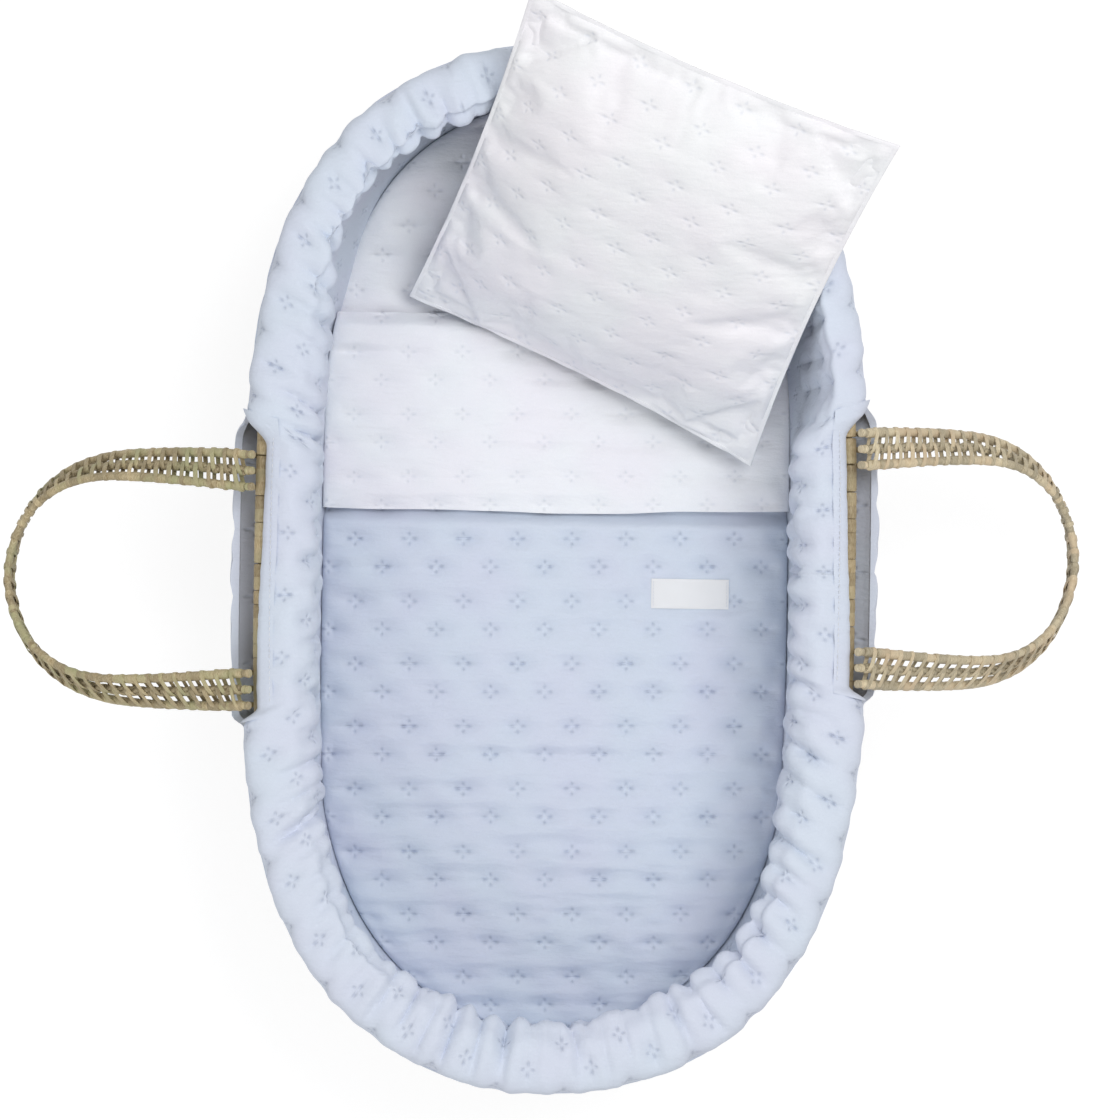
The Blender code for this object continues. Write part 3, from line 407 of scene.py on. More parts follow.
def start_finish(name, roughness, sheen=0.0, specular=0.25):
    """A material's short hand, its shader and the place on the piece, to build the rest from."""
    finish = bpy.data.materials.new(name + FINISH_END)
    finish.use_nodes = True
    nodes = Nodes(finish.node_tree)
    shader = finish.node_tree.nodes["Principled BSDF"]
    nodes.feed(shader, {"Roughness": roughness, "Specular IOR Level": specular, "Sheen Weight": sheen,
                        "Sheen Roughness": 0.6, "Sheen Tint": (1.0, 1.0, 1.0, 1.0)})
    return nodes, shader, nodes.add("ShaderNodeTexCoord").outputs["Object"]


def tuft_marks(nodes, cloth):
    """How deep a point of the cloth lies in a tuft's four petals, and in the creases pulled beside it."""
    petals, creases = 0.0, 0.0
    cell = (TUFT_PITCH, ROW_PAIR, 1.0)
    beside, above = ((0.0043, 0.0), (0.0021, 0.0012)), ((0.0, 0.0038), (0.0012, 0.0015))
    for shift in ((0.0, 0.0, 0.0), (TUFT_PITCH / 2, ROW_STEP, 0.0)):
        cells = nodes.vector("DIVIDE", nodes.vector("SUBTRACT", cloth, shift), cell)
        middle = nodes.vector("ADD", cells, (0.5, 0.5, 0.0))
        number = nodes.vector("FLOOR", middle)
        inside = nodes.vector("MULTIPLY", nodes.vector("SUBTRACT", cells, number), cell)
        inside = nodes.vector("ABSOLUTE", nodes.vector("MULTIPLY", inside, (1.0, 1.0, 0.0)))
        chance = nodes.add("ShaderNodeTexWhiteNoise", {"Vector": number}).outputs["Value"]
        for centre, width in (beside, above):
            away = nodes.vector("SUBTRACT", inside, (*centre, 0.0))
            away = nodes.vector("DIVIDE", away, (*width, 1.0))
            fall = nodes.math("EXPONENT", nodes.math("MULTIPLY", nodes.vector("DOT_PRODUCT", away, away), -1.0))
            petals = nodes.math("ADD", fall, petals)
        pull = nodes.vector("DIVIDE", inside, (0.0115, 0.0013, 1.0))
        pull = nodes.math("MULTIPLY", nodes.vector("DOT_PRODUCT", pull, pull), -1.0)
        pull = nodes.math("MULTIPLY", nodes.math("EXPONENT", pull), chance)
        creases = nodes.math("ADD", pull, creases)
    return petals, creases


def cotton_finish(name, colour, shade, tuft_painted_shade=0.0, tuft_depth=0.0):
    """Matt brushed cotton: a fine weave, soft crinkles, patches of a second tone and painted shade in the tufts' petals
    and creases.
    """
    nodes, shader, place = start_finish(name, 0.92, 0.12)
    patches = nodes.spread(nodes.noise(place, 14.0, 2.0), 0.38, 0.62)
    lavender = rgba((colour[0] * 1.005, colour[1] * 0.975, colour[2] * 0.995))
    tone = nodes.mix(patches, rgba(colour), lavender)
    crinkle = nodes.noise(place, 210.0, 4.0, 0.62)
    long_crinkle = nodes.noise(nodes.vector("MULTIPLY", place, (1.0, 3.2, 1.0)), 62.0, 3.0, 0.55)
    slub = nodes.noise(nodes.vector("MULTIPLY", place, (4.0, 1.0, 1.0)), 700.0, 2.0)
    tone = nodes.mix(nodes.spread(slub, 0.3, 0.7, 0.0, 0.10), tone, rgba(shade))
    height = nodes.math("ADD", nodes.math("MULTIPLY", crinkle, 0.35), long_crinkle)
    if tuft_depth:
        cloth = nodes.add("ShaderNodeUVMap", uv_map="cloth").outputs[0]
        petals, creases = tuft_marks(nodes, cloth)
        # Painted shade: the tufts' pressed-in petals and the creases beside them are darkened toward the shade colour,
        # as shade in their hollows.
        dark = nodes.math("MULTIPLY", nodes.math("MINIMUM", petals, 1.0), tuft_painted_shade)
        dark = nodes.math("ADD", dark, nodes.math("MULTIPLY", creases, tuft_painted_shade * 0.25))
        tone = nodes.mix(dark, tone, rgba(shade))
        height = nodes.math("SUBTRACT", height, nodes.math("MULTIPLY", petals, tuft_depth))
        height = nodes.math("SUBTRACT", height, nodes.math("MULTIPLY", creases, tuft_depth * 0.7))
    threads = nodes.math("ADD", nodes.wave(place, 520.0, "X", 1.2), nodes.wave(place, 520.0, "Y", 1.2))
    fine = nodes.bump(threads, 0.00006, 0.35)
    nodes.feed(shader, {"Base Color": tone, "Normal": nodes.bump(height, 0.0016, 0.55, fine)})


def straw_finish(name, pale, dark, stain):
    """Wound straw: long fibres, a different tone on each turn, and stained patches."""
    nodes, shader, place = start_finish(name, 0.55, specular=0.4)
    strand = nodes.add("ShaderNodeAttribute", attribute_name="strand").outputs["Fac"]
    fibres = nodes.noise(nodes.vector("MULTIPLY", place, (1.0, 1.0, 14.0)), 260.0, 4.0, 0.6)
    tone = nodes.mix(nodes.spread(fibres, 0.35, 0.68), rgba(pale), rgba(dark))
    own = nodes.spread(strand, new_low=0.66, new_high=1.18)
    tone = nodes.vector("MULTIPLY", tone, nodes.add("ShaderNodeCombineXYZ", {0: own, 1: own, 2: own}).outputs[0])
    stained = nodes.math("ADD", nodes.noise(place, 34.0, 2.0), nodes.math("MULTIPLY", strand, 0.22))
    tone = nodes.mix(nodes.spread(stained, 0.58, 0.80, 0.0, 0.75), tone, rgba(stain))
    roughness = nodes.spread(fibres, new_low=0.42, new_high=0.72)
    nodes.feed(shader, {"Base Color": tone, "Roughness": roughness, "Normal": nodes.bump(fibres, 0.0005, 0.7)})


def tape_finish(name, colour, shade, scale):
    """Woven tape: ribs one way, threads the other, with painted shade in the hollows, stronger in random patches."""
    nodes, shader, place = start_finish(name, 0.85, 0.05)
    ribs, threads = nodes.wave(place, scale, "X", 0.6), nodes.wave(place, scale * 1.4, "Y")
    height = nodes.math("ADD", ribs, nodes.math("MULTIPLY", threads, 0.6))
    # Painted shade: the hollows between ribs and threads are darkened toward the shade colour, by a random amount from
    # place to place.
    hollow_shade = nodes.math("MULTIPLY", nodes.noise(place, 90.0, 3.0), 0.35)
    tone = nodes.mix(nodes.math("MULTIPLY", nodes.math("SUBTRACT", 1.2, height), hollow_shade), rgba(colour), rgba(shade))
    nodes.feed(shader, {"Base Color": tone, "Normal": nodes.bump(height, 0.0002, 0.6)})


def grain_finish(name, colour, shade, scale, depth):
    """Foam or board: cells or chips of two tones with their own relief."""
    nodes, shader, place = start_finish(name, 0.8)
    cells = nodes.add("ShaderNodeTexVoronoi", {"Vector": place, "Scale": scale}).outputs["Distance"]
    clouds = nodes.noise(place, scale / 6.0, 4.0)
    tone = nodes.mix(nodes.math("MULTIPLY", nodes.math("ADD", cells, clouds), 0.6), rgba(shade), rgba(colour))
    nodes.feed(shader, {"Base Color": tone, "Normal": nodes.bump(cells, depth, 0.7)})


# Repeated and swept pieces


def new_tree(name, inputs):
    """A geometry node tree's short hand, and the sockets of its named inputs."""
    tree = bpy.data.node_groups.new(name, "GeometryNodeTree")
    for label, kind in inputs.items():
        tree.interface.new_socket(label, in_out="INPUT", socket_type="NodeSocket" + kind)
    tree.interface.new_socket("Result", in_out="OUTPUT", socket_type="NodeSocketGeometry")
    nodes = Nodes(tree)
    return nodes, nodes.add("NodeGroupInput").outputs


def end_tree(nodes, shape, material):
    """Ends a tree in real geometry with its material."""
    real = nodes.add("GeometryNodeRealizeInstances", {0: shape}).outputs[0]
    finish = nodes.add("GeometryNodeSetMaterial", {"Geometry": real, "Material": material}).outputs[0]
    nodes.add("NodeGroupOutput", {0: finish})


def repeat_tree():
    """Sets an item on every vertex of a route, turned and grown by the directions stored there."""
    nodes, inputs = new_tree("repeat_on_route", {
        "Route": "Geometry", "Item": "Object", "Size": "Float", "Seed": "Int", "Material": "Material"})
    item = nodes.add("GeometryNodeObjectInfo", {"Object": inputs["Item"]}).outputs["Geometry"]
    along, across, swell = (
        nodes.add("GeometryNodeInputNamedAttribute", {"Name": label}, data_type="FLOAT_VECTOR").outputs["Attribute"]
        for label in ("along", "across", "swell"))
    turn = nodes.add("FunctionNodeAxesToRotation", {0: along, 1: across}, primary_axis="X", secondary_axis="Y")
    grown = nodes.add("ShaderNodeVectorMath", {0: swell, "Scale": inputs["Size"]}, operation="SCALE")
    copies = nodes.add("GeometryNodeInstanceOnPoints", {
        "Points": inputs["Route"], "Instance": item, "Rotation": turn.outputs[0], "Scale": grown.outputs[0]})
    chance = nodes.add("FunctionNodeRandomValue", {"Seed": inputs["Seed"]}, data_type="FLOAT").outputs[1]
    marked = nodes.add("GeometryNodeStoreNamedAttribute", {
        "Geometry": copies.outputs[0], "Name": "strand", "Value": chance}, data_type="FLOAT", domain="INSTANCE")
    end_tree(nodes, marked.outputs[0], inputs["Material"])


def sweep_tree():
    """Draws a strand of an oval section along each line of a route."""
    nodes, inputs = new_tree("sweep_strands", {
        "Route": "Geometry", "Section": "Vector", "Sides": "Int", "Caps": "Bool", "Material": "Material"})
    line = nodes.add("GeometryNodeMeshToCurve", {"Mesh": inputs["Route"]}).outputs[0]
    upright = nodes.add("GeometryNodeSetCurveNormal", {"Curve": line}, mode="Z_UP").outputs[0]
    ring = nodes.add("GeometryNodeCurvePrimitiveCircle", {"Radius": 1.0, "Resolution": inputs["Sides"]})
    oval = nodes.add("GeometryNodeTransform", {"Geometry": ring.outputs["Curve"], "Scale": inputs["Section"]})
    skin = nodes.add("GeometryNodeCurveToMesh", {
        "Curve": upright, "Profile Curve": oval.outputs[0], "Fill Caps": inputs["Caps"]})
    end_tree(nodes, skin.outputs[0], inputs["Material"])


def made_by(tree, name, route, values):
    """A plain mesh from a route and a tree; the route's own object goes away."""
    route.name = name + "_route"
    modifier = route.modifiers.new("nodes", "NODES")
    modifier.node_group = tree
    for socket in tree.interface.items_tree:
        if socket.in_out == "INPUT" and socket.name in values:
            modifier[socket.identifier] = values[socket.name]
    bpy.context.view_layer.update()
    shown = route.evaluated_get(bpy.context.evaluated_depsgraph_get())
    data = bpy.data.meshes.new_from_object(shown)
    route.modifiers.remove(modifier)
    drop(route)
    data.name = name
    return linked(name, data)


def repeated(name, item, route, seed, finish):
    """An item set along a route, as one plain mesh; the item's own object goes away."""
    values = {"Item": item, "Size": 1.0, "Seed": seed, "Material": finish}
    piece = made_by(bpy.data.node_groups["repeat_on_route"], name, route, values)
    drop(item)
    return piece


def swept(name, lines, section, sides, finish, closed=False):
    """Strands drawn along lines, as one plain mesh; those of open lines have closed ends."""
    values = {"Section": section, "Sides": sides, "Caps": not closed, "Material": finish}
    return made_by(bpy.data.node_groups["sweep_strands"], name, route_lines(lines, closed), values)


def drop(item):
    """Takes an object and its mesh out of the file."""
    data = item.data
    bpy.data.objects.remove(item)
    bpy.data.meshes.remove(data)


def alike(direction, count):
    """The same direction for every vertex of a route."""
    return np.tile(direction, (count, 1))


def route_points(points, along, across, swell=None):
    """A route's vertices with the directions and the size that an item takes there."""
    points, along, across = (np.asarray(a, float).reshape(-1, 3) for a in (points, along, across))
    route = new_mesh("route", points, [])
    swell = np.ones_like(points) if swell is None else np.asarray(swell, float).reshape(-1, 3)
    for label, values in (("along", along), ("across", across), ("swell", swell)):
        layer = route.data.attributes.new(label, "FLOAT_VECTOR", "POINT")
        layer.data.foreach_set("vector", np.ascontiguousarray(values, np.float32).ravel())
    return route


def route_lines(lines, closed=False):
    """A route of joined vertices for each line of points."""
    points, edges, start = [], [], 0
    for line in lines:
        count = len(line)
        points.extend(np.asarray(line, float).tolist())
        edges.extend((start + k, start + k + 1) for k in range(count - 1))
        if closed:
            edges.append((start + count - 1, start))
        start += count
    return new_mesh("route", points, [], edges=edges)


def barrel(radius, length, sides=10, crown=0.16, neck=0.30):
    """One turn of wound straw: a crowned drum along X with closed, drawn-in ends."""
    share = np.array([-1.0, -0.94, -0.6, 0.0, 0.6, 0.94, 1.0])
    reach = 1.0 - np.array([neck, crown * 0.55, crown * 0.15, 0.0, crown * 0.15, crown * 0.55, neck])
    reach = reach * radius
    turn = np.arange(sides) * 2 * math.pi / sides
    points = [(s * length / 2, r * math.cos(t), r * math.sin(t)) for s, r in zip(share, reach) for t in turn]
    drum = new_mesh("barrel", points, ring_faces(len(share), sides, closed=False))
    face_outwards(drum)
    return drum


def lace_loop(reach, pad, width, thickness, slant, steps=14):
    """A flat straw band that passes round two neighbouring cords, slanted along them."""
    turn = np.arange(steps) * 2 * math.pi / steps
    side = np.sign(np.cos(turn)) * np.abs(np.cos(turn)) ** 0.8
    section = ((-0.5, 0.0), (0.5, 0.0), (0.5, 1.0), (0.0, 1.35), (-0.5, 1.0))
    points = []
    for t, s in zip(turn, side):
        across = reach / 2 + s * (reach / 2 + pad)
        through = math.sin(t) * pad
        shift = slant * (across / reach - 0.5)
        normal = Vector((0.0, math.cos(t), math.sin(t)))
        for along, out in section:
            place = Vector((shift + along * width, across, through)) + normal * thickness * out
            points.append(tuple(place))
    band = new_mesh("lace", points, ring_faces(steps, len(section)))
    face_outwards(band)
    return band


# Handles and rim of straw

# Half of a handle's middle line, as shares of the loop's length and half width
LOOP_SHARES = (
    (0.00, 0.96), (0.20, 0.99), (0.42, 1.01), (0.58, 1.00), (0.70, 0.945),
    (0.80, 0.84), (0.89, 0.67), (0.955, 0.44), (0.99, 0.20), (1.00, 0.00),
)
LOOP_LENGTH = 0.249
LOOP_HALF_WIDTH = 0.088
LEG_SHARE = LOOP_SHARES[0][1]
HINGE_ACROSS = 0.2363
HINGE_HEIGHT = 0.264
# The strap ends stand upright above this height, and follow the wall's lean below it
STRAP_BEND = 0.2365
CORD_PITCH = 0.0124
CORD_RADIUS = 0.0038
CORD_FLATNESS = 0.84
KNUCKLE_RADIUS = 0.0033
# Each handle's side, its middle along the basket, its hang, how far its slot runs on at the head, its straw and seeds
HANDLES = {
    "left": {"side": -1.0, "place": -0.013, "droop": math.radians(36.0), "tip": 0.048, "straw": "olive_straw",
             "seeds": {"outer": 3, "inner": 5}},
    "right": {"side": 1.0, "place": 0.011, "droop": math.radians(43.0), "tip": 0.038, "straw": "pale_straw",
              "seeds": {"outer": 11, "inner": 13}},
}


def hang_direction(facts):
    """The direction in which a handle leaves its slot."""
    return np.array((facts["side"] * math.cos(facts["droop"]), 0.0, -math.sin(facts["droop"])))


def handle_frames(word, count):
    """Places along a handle's middle line, with its directions along, across and through the strap."""
    facts = HANDLES[word]
    droop, side = facts["droop"], facts["side"]
    hinge = np.array((side * HINGE_ACROSS, facts["place"], HINGE_HEIGHT))
    half = [(a * LOOP_LENGTH, c * LOOP_HALF_WIDTH) for a, c in LOOP_SHARES]
    half[0] = (KNUCKLE_RADIUS + 0.0008, half[0][1])
    plan = smooth_line(half + [(a, -c) for a, c in reversed(half[:-1])], count)
    run = unit(np.gradient(plan, axis=0))
    outward = hang_direction(facts)
    upward = np.array((side * math.sin(droop), 0.0, math.cos(droop)))
    sideways = np.array((0.0, 1.0, 0.0))
    middle = hinge + plan[:, :1] * outward + plan[:, 1:] * sideways
    along = run[:, :1] * outward + run[:, 1:] * sideways
    wide = run[:, :1] * sideways - run[:, 1:] * outward
    share = np.clip(plan[:, 0] / LOOP_LENGTH - 0.05, 0.0, 1.0) ** 0.7
    twist = ((math.pi / 2 - droop) * np.sin(math.pi / 2 * np.minimum(1.0, share)))[:, None]
    across = wide * np.cos(twist) - upward * np.sin(twist)
    through = wide * np.sin(twist) + upward * np.cos(twist)
    return middle, along, across, through


def wound_cord(name, points, across, radius, pitch, finish, seed, flat=1.0):
    """A cord wound with straw: one drum to each turn, along a line of points."""
    run = run_along(points)
    number = max(2, int(round(run[-1] / pitch)))
    middles = (np.arange(number) + 0.5) * run[-1] / number
    place, wide = sampled(middles, run, points), sampled(middles, run, across)
    along = unit(sampled(middles, run, np.gradient(points, axis=0)))
    length = run[-1] / number * 1.03
    swell = np.ones((number, 3))
    swell[:, 1:] += (0.16 * (lattice(np.arange(number), 0.0, seed) - 0.5))[:, None]
    swell[:, 2] *= flat
    drum = barrel(radius, length, neck=0.38)
    return repeated(name, drum, route_points(place, along, wide, swell), seed, finish)


def make_handle(word):
    """Two wound edge cords, a plait between them, and the lacing that holds the three together."""
    body = word + "_handle"
    slot, seeds = HANDLES[word]["straw"], HANDLES[word]["seeds"]
    straw = finish_named(slot)
    middle, along, across, through = handle_frames(word, 1200)
    for edge, sign in (("outer", 1.0), ("inner", -1.0)):
        points = middle + across * CORD_PITCH * sign
        cord = wound_cord(f"{word}_{edge}_cord", points, across, CORD_RADIUS, 0.0125, straw, seeds[edge], CORD_FLATNESS)
        finish_piece(cord, straw, body, (f"{word}_handle_{edge}_cord",))
    turn = np.linspace(0.0, 2 * math.pi * round(0.60 / 0.030), len(middle))
    lines = []
    for strand in range(3):
        phase = turn + strand * 2 * math.pi / 3
        lines.append((middle + across * (0.0021 * np.sin(phase))[:, None]
                      + through * (0.0013 * np.sin(2 * phase))[:, None])[::3])
    plait = swept(f"{word}_plait", lines, (0.0020, 0.0020, 1.0), 7, straw)
    finish_piece(plait, straw, body)
    number = int(round((2 * LOOP_LENGTH + LOOP_HALF_WIDTH) / 0.0132))
    picks = np.round(np.linspace(0, len(middle) - 1, number * 2 + 1)).astype(int)[1::2]
    for edge, sign, slant in (("outer", 1.0, 0.0050), ("inner", -1.0, -0.0044)):
        band = lace_loop(CORD_PITCH, CORD_RADIUS * CORD_FLATNESS + 0.0004, 0.0040, 0.0006, slant)
        swell = np.ones((len(picks), 3))
        swell[:, 0] += 0.35 * (lattice(np.arange(len(picks)), 1.0, seeds[edge]) - 0.5)
        route = route_points(middle[picks], along[picks], across[picks] * sign, swell)
        lacing = repeated(f"{word}_{edge}_lacing", band, route, seeds[edge] + 1, straw)
        replaced = (f"{word}_handle_braid",) if edge == "outer" else ()
        finish_piece(lacing, straw, body, replaced)
    for end, sign in (("head", 1.0), ("foot", -1.0)):
        make_anchor(word, end, sign, straw)


def make_anchor(word, end, sign, straw):
    """The three cords of a strap end, sewn to the outside of the wall, and the knuckle where they turn over."""
    facts = HANDLES[word]
    leg = facts["place"] + sign * LOOP_HALF_WIDTH * LEG_SHARE
    height = np.concatenate([np.linspace(0.141, 0.236, 12), np.linspace(0.240, 0.2630, 5)])
    outside = HALF_WIDTH + 0.0030 - FLARE_ACROSS * lean(height)
    outside = np.where(height > STRAP_BEND, HINGE_ACROSS, np.minimum(outside, HINGE_ACROSS))
    cords = []
    for shift in (-CORD_PITCH, 0.0, CORD_PITCH):
        turned = np.linspace(-0.0030, KNUCKLE_RADIUS, 8)[:, None] * hang_direction(facts)
        turned = turned + np.array((facts["side"] * HINGE_ACROSS, leg + shift, HINGE_HEIGHT - 0.0004))
        cords.append(wound_cord("knuckle", turned, alike((0.0, 1.0, 0.0), len(turned)), KNUCKLE_RADIUS, 0.0038, straw,
                                30 + len(cords)))
        reach = across_share((leg + shift) / HALF_LENGTH)
        across = facts["side"] * np.where(height > STRAP_BEND, outside, outside * reach)
        points = np.stack([across, np.full_like(height, leg + shift), height], axis=1)
        cords.append(wound_cord("cord", points, alike((0.0, 1.0, 0.0), len(height)), 0.0024, 0.0135, straw,
                                20 + len(cords)))
    anchor = joined(f"{word}_{end}_strap_end", cords)
    finish_piece(anchor, straw, "basket", (f"{word}_{end}_anchor",))


def joined(name, items):
    """One mesh from several."""
    shape = bmesh.new()
    for item in items:
        shape.from_mesh(item.data)
        drop(item)
    data = bpy.data.meshes.new(name)
    shape.to_mesh(data)
    shape.free()
    return linked(name, data)


def make_rim():
    """Straw wound over the cane, turn beside turn."""
    straw = finish_named("rim_straw")
    number = int(RIM_LENGTH / 0.0105)
    run = rim_stations(number, 0.5)[0] + 0.0016 * (lattice(np.arange(number), 3.0, 2.0) - 0.5)
    place = oval_place(*on_oval(run), RIM_OFFSET, RIM_HEIGHT)
    along = unit(oval_place(*on_oval(run + 0.002), RIM_OFFSET, RIM_HEIGHT) - place)
    drum = barrel(RIM_RADIUS, RIM_LENGTH / number * 1.04, sides=12, crown=0.07, neck=0.24)
    rim = repeated("wound_rim", drum, route_points(place, along, alike((0.0, 0.0, 1.0), number)), 31, straw)
    finish_piece(rim, straw, "basket", ("rim_wrap",))


def make_wall():
    """Flat strands woven in and out of upright stakes."""
    straw = finish_named("woven_wall")
    stakes, rows = 96, 37
    fine = 3
    middle = -WALL_THICKNESS / 2
    run, x, y = rim_stations(stakes * fine)
    lines = []
    for row in range(rows):
        height = BASE_THICKNESS + 0.0022 + row * (WALL_TOP - 0.0038 - BASE_THICKNESS) / (rows - 1)
        phase = math.pi * run / RIM_LENGTH * stakes + (math.pi if row % 2 else 0.0)
        out = middle + 0.0014 * np.sin(phase + math.pi / (2 * fine))
        ripple = 0.0004 * noise2(run * 40.0, np.full_like(run, row * 3.1), 4.0)
        lines.append(oval_place(x, y, out, height + ripple))
    weave = swept("woven_strands", lines, (0.0009, 0.0029, 1.0), 6, straw, closed=True)
    finish_piece(weave, straw, "basket", ("side_wall",))
    _, x, y = rim_stations(stakes, 0.5)
    height = np.linspace(BASE_THICKNESS + 0.0002, WALL_TOP - 0.001, 10)
    lines = [oval_place(np.full_like(height, a), np.full_like(height, b), middle, height) for a, b in zip(x, y)]
    upright = swept("wall_stakes", lines, (0.0012, 0.0012, 1.0), 6, straw)
    finish_piece(upright, straw, "basket")


# Padded cover

COVER_HIGHEST = 0.2685
PAD_HALF_WIDTH = 0.1855
PAD_HALF_LENGTH = 0.3625
LINER_OUTSIDE = -0.0059
LINER_INSIDE = -0.0159
# Over what length a slot opens at its foot end and at its head end
SLOT_EASES = (0.012, 0.028)
SLOT_BELOW_LEG = 0.0265
# The outer and upper outline of the roll, as offsets from the wall and heights: whole, and half and fully cut back
WHOLE_ROLL = (
    (-0.0085, 0.2505), (0.0013, 0.2505), (0.0042, 0.2467), (0.0044, 0.2362), (0.0112, 0.2348), (0.0140, 0.2420),
    (0.0134, 0.2515), (0.0085, 0.2600), (0.0000, 0.2642), (-0.0130, 0.2660), (-0.0260, 0.2650),
)
HALF_CUT_ROLL = (
    (-0.0085, 0.2505), (0.0013, 0.2505), (0.0040, 0.2506), (0.0065, 0.2507), (0.0080, 0.2512), (0.0090, 0.2530),
    (0.0088, 0.2560), (0.0060, 0.2602), (0.0000, 0.2638), (-0.0130, 0.2655), (-0.0260, 0.2650),
)
CUT_ROLL = (
    (-0.0085, 0.2505), (-0.0057, 0.2505), (-0.0049, 0.2507), (-0.0038, 0.2514), (-0.0030, 0.2528), (-0.0030, 0.2545),
    (-0.0030, 0.2565), (-0.0038, 0.2592), (-0.0062, 0.2612), (-0.0130, 0.2630), (-0.0260, 0.2645),
)
# The padding's inner face from the top down: its height, and how far it leans in from the upright face everywhere and
# then more toward the ends
INNER_FACE = (
    (0.2590, 0.0080, -0.0010), (0.2515, 0.0015, -0.0020), (0.2400, -0.0010, 0.0025),
    (0.2150, -0.0010, 0.0075), (0.150, 0.0025, 0.0080), (0.100, 0.0050, 0.0080),
)
PADDING_FLOOR = 0.0145
# The steps from each key point of the outline to the next; the curve is smooth from the first smooth key on
ROLL_STEPS = (6, 1, 2, 1, 1, 2, 2, 2, 3, 3, 3, 4, 6, 6, 7, 5, 4, 14, 16, 12, 5, 1)
FIRST_SMOOTH_KEY = 6
SEAM_KEY, CREST_KEY = 8, 9
# The places along the cover where a deep crease pinches it, and the levels of its fall: a share of the way down, the
# offset from the wall, and how much of it stands further out at a slot
PINCH_ALONG = -0.2176
SKIRT_TOP, SKIRT_HEM = 0.2355, 0.095
SKIRT_LEVELS = (
    (0.0, 0.0130, 1.0), (0.10, 0.0150, 1.0), (0.24, 0.0160, 0.8), (0.40, 0.0156, 0.5), (0.55, 0.0142, 0.3),
    (0.72, 0.0118, 0.1), (0.86, 0.0096, 0.0), (0.90, 0.0080, 0.0), (0.95, 0.0074, 0.0), (1.0, 0.0074, 0.0),
)


def slot_ends(word):
    """Where a handle's slot in the cover ends toward the foot and toward the head."""
    facts = HANDLES[word]
    leg = LOOP_HALF_WIDTH * LEG_SHARE
    return facts["place"] - leg - SLOT_BELOW_LEG, facts["place"] + leg + facts["tip"]


def slot_share(x, y):
    """0 where the cover rolls right over the rim, 1 where a slot cuts it back."""
    along = y * HALF_LENGTH
    share = np.zeros_like(along)
    for word, facts in HANDLES.items():
        foot, head = slot_ends(word)
        own = np.clip(np.minimum((along - foot) / SLOT_EASES[0], (head - along) / SLOT_EASES[1]), 0.0, 1.0)
        share = np.where(x * facts["side"] > 0, np.maximum(share, own), share)
    return share


def pressed(x, y):
    """1 where the pillow presses the padding against the wall, 0 where it stands full."""
    along = y * HALF_LENGTH
    depth = np.clip(np.minimum(along - 0.105, 0.350 - along) / 0.035, 0.0, 1.0)
    return np.where(x > 0, depth, 0.0)


def opening_bulge(share):
    """How far the padding gives way at the corners, at shares of its inner half length toward the head."""
    head = 0.0135 * np.exp(-(((share - 0.745) / 0.15) ** 2))
    foot = 0.0035 * np.exp(-(((share + 0.760) / 0.14) ** 2)) - 0.0085 * ramp(-share, 0.80, 0.985)
    return head + foot


def pad_offset(x, y, height):
    """How far inside the wall the upright inner face of the padding stands."""
    across = PAD_HALF_WIDTH - (HALF_WIDTH - FLARE_ACROSS * lean(height))
    along = PAD_HALF_LENGTH - (HALF_LENGTH - FLARE_ALONG * lean(height))
    full = along + (across - along) * x**2 / (x**2 + y**2)
    full = full + opening_bulge(y)
    below = ramp(np.abs(y), 0.36, 0.58) * (1 - ramp(height, 0.125, 0.215))
    full = full + (LINER_INSIDE + 0.0055 - full) * below
    return full + (LINER_INSIDE - full) * pressed(x, y)


def roll_keys(x, y):
    """The outer and upper outline of the roll at each station, cut back at the slots, and most at their head ends."""
    share = eased(slot_share(x, y)[:, None, None])
    whole, half, cut = (np.array(line)[None] for line in (WHOLE_ROLL, HALF_CUT_ROLL, CUT_ROLL))
    low = whole + (half - whole) * np.clip(share * 2, 0, 1)
    roll = low + (cut - half) * np.clip(share * 2 - 1, 0, 1)
    headward = 0.0050 * ramp(y * HALF_LENGTH, -0.10, 0.09) - 0.0005
    weight = np.array([1.0] * 9 + [0.5, 0.0])
    roll[:, :, 0] -= (headward * share[:, 0, 0])[:, None] * weight
    return roll


def roll_sections(x, y):
    """The outline of the padding at each station, as offsets and heights."""
    roll = roll_keys(x, y)
    flat = pressed(x, y)
    roll[:, -1, 0] += (LINER_OUTSIDE * 2 + 0.026) * flat
    roll[:, -2, 0] += 0.004 * flat
    ends = ramp(np.abs(y), 0.45, 0.75)
    inner = []
    for height, back, leaning in INNER_FACE:
        offset = pad_offset(x, y, height) + (back + leaning * ends) * (1 - 0.6 * flat)
        offset = np.minimum(offset, LINER_INSIDE + 0.0070)
        inner.append(np.stack([offset, np.full_like(offset, height)], axis=1))
    inner.append(np.tile((LINER_INSIDE, PADDING_FLOOR), (len(x), 1)))
    back = np.array(((LINER_OUTSIDE, PADDING_FLOOR), (LINER_OUTSIDE, 0.2257), (-0.0090, 0.2410)))
    back = np.tile(back[None], (len(x), 1, 1))
    return np.concatenate([back, roll, np.stack(inner, axis=1)], axis=1)


def section_points(keys, steps):
    """Closed outlines through key points, with a set number of steps in each span."""
    count = keys.shape[1]
    out = []
    for k in range(count):
        a, b, c, d = (keys[:, (k + j) % count] for j in (-1, 0, 1, 2))
        for t in np.arange(steps[k]) / steps[k]:
            smooth = FIRST_SMOOTH_KEY <= k < count - 1
            out.append(curve_point(a, b, c, d, t) if smooth else b + (c - b) * t)
    return np.stack(out, axis=1)


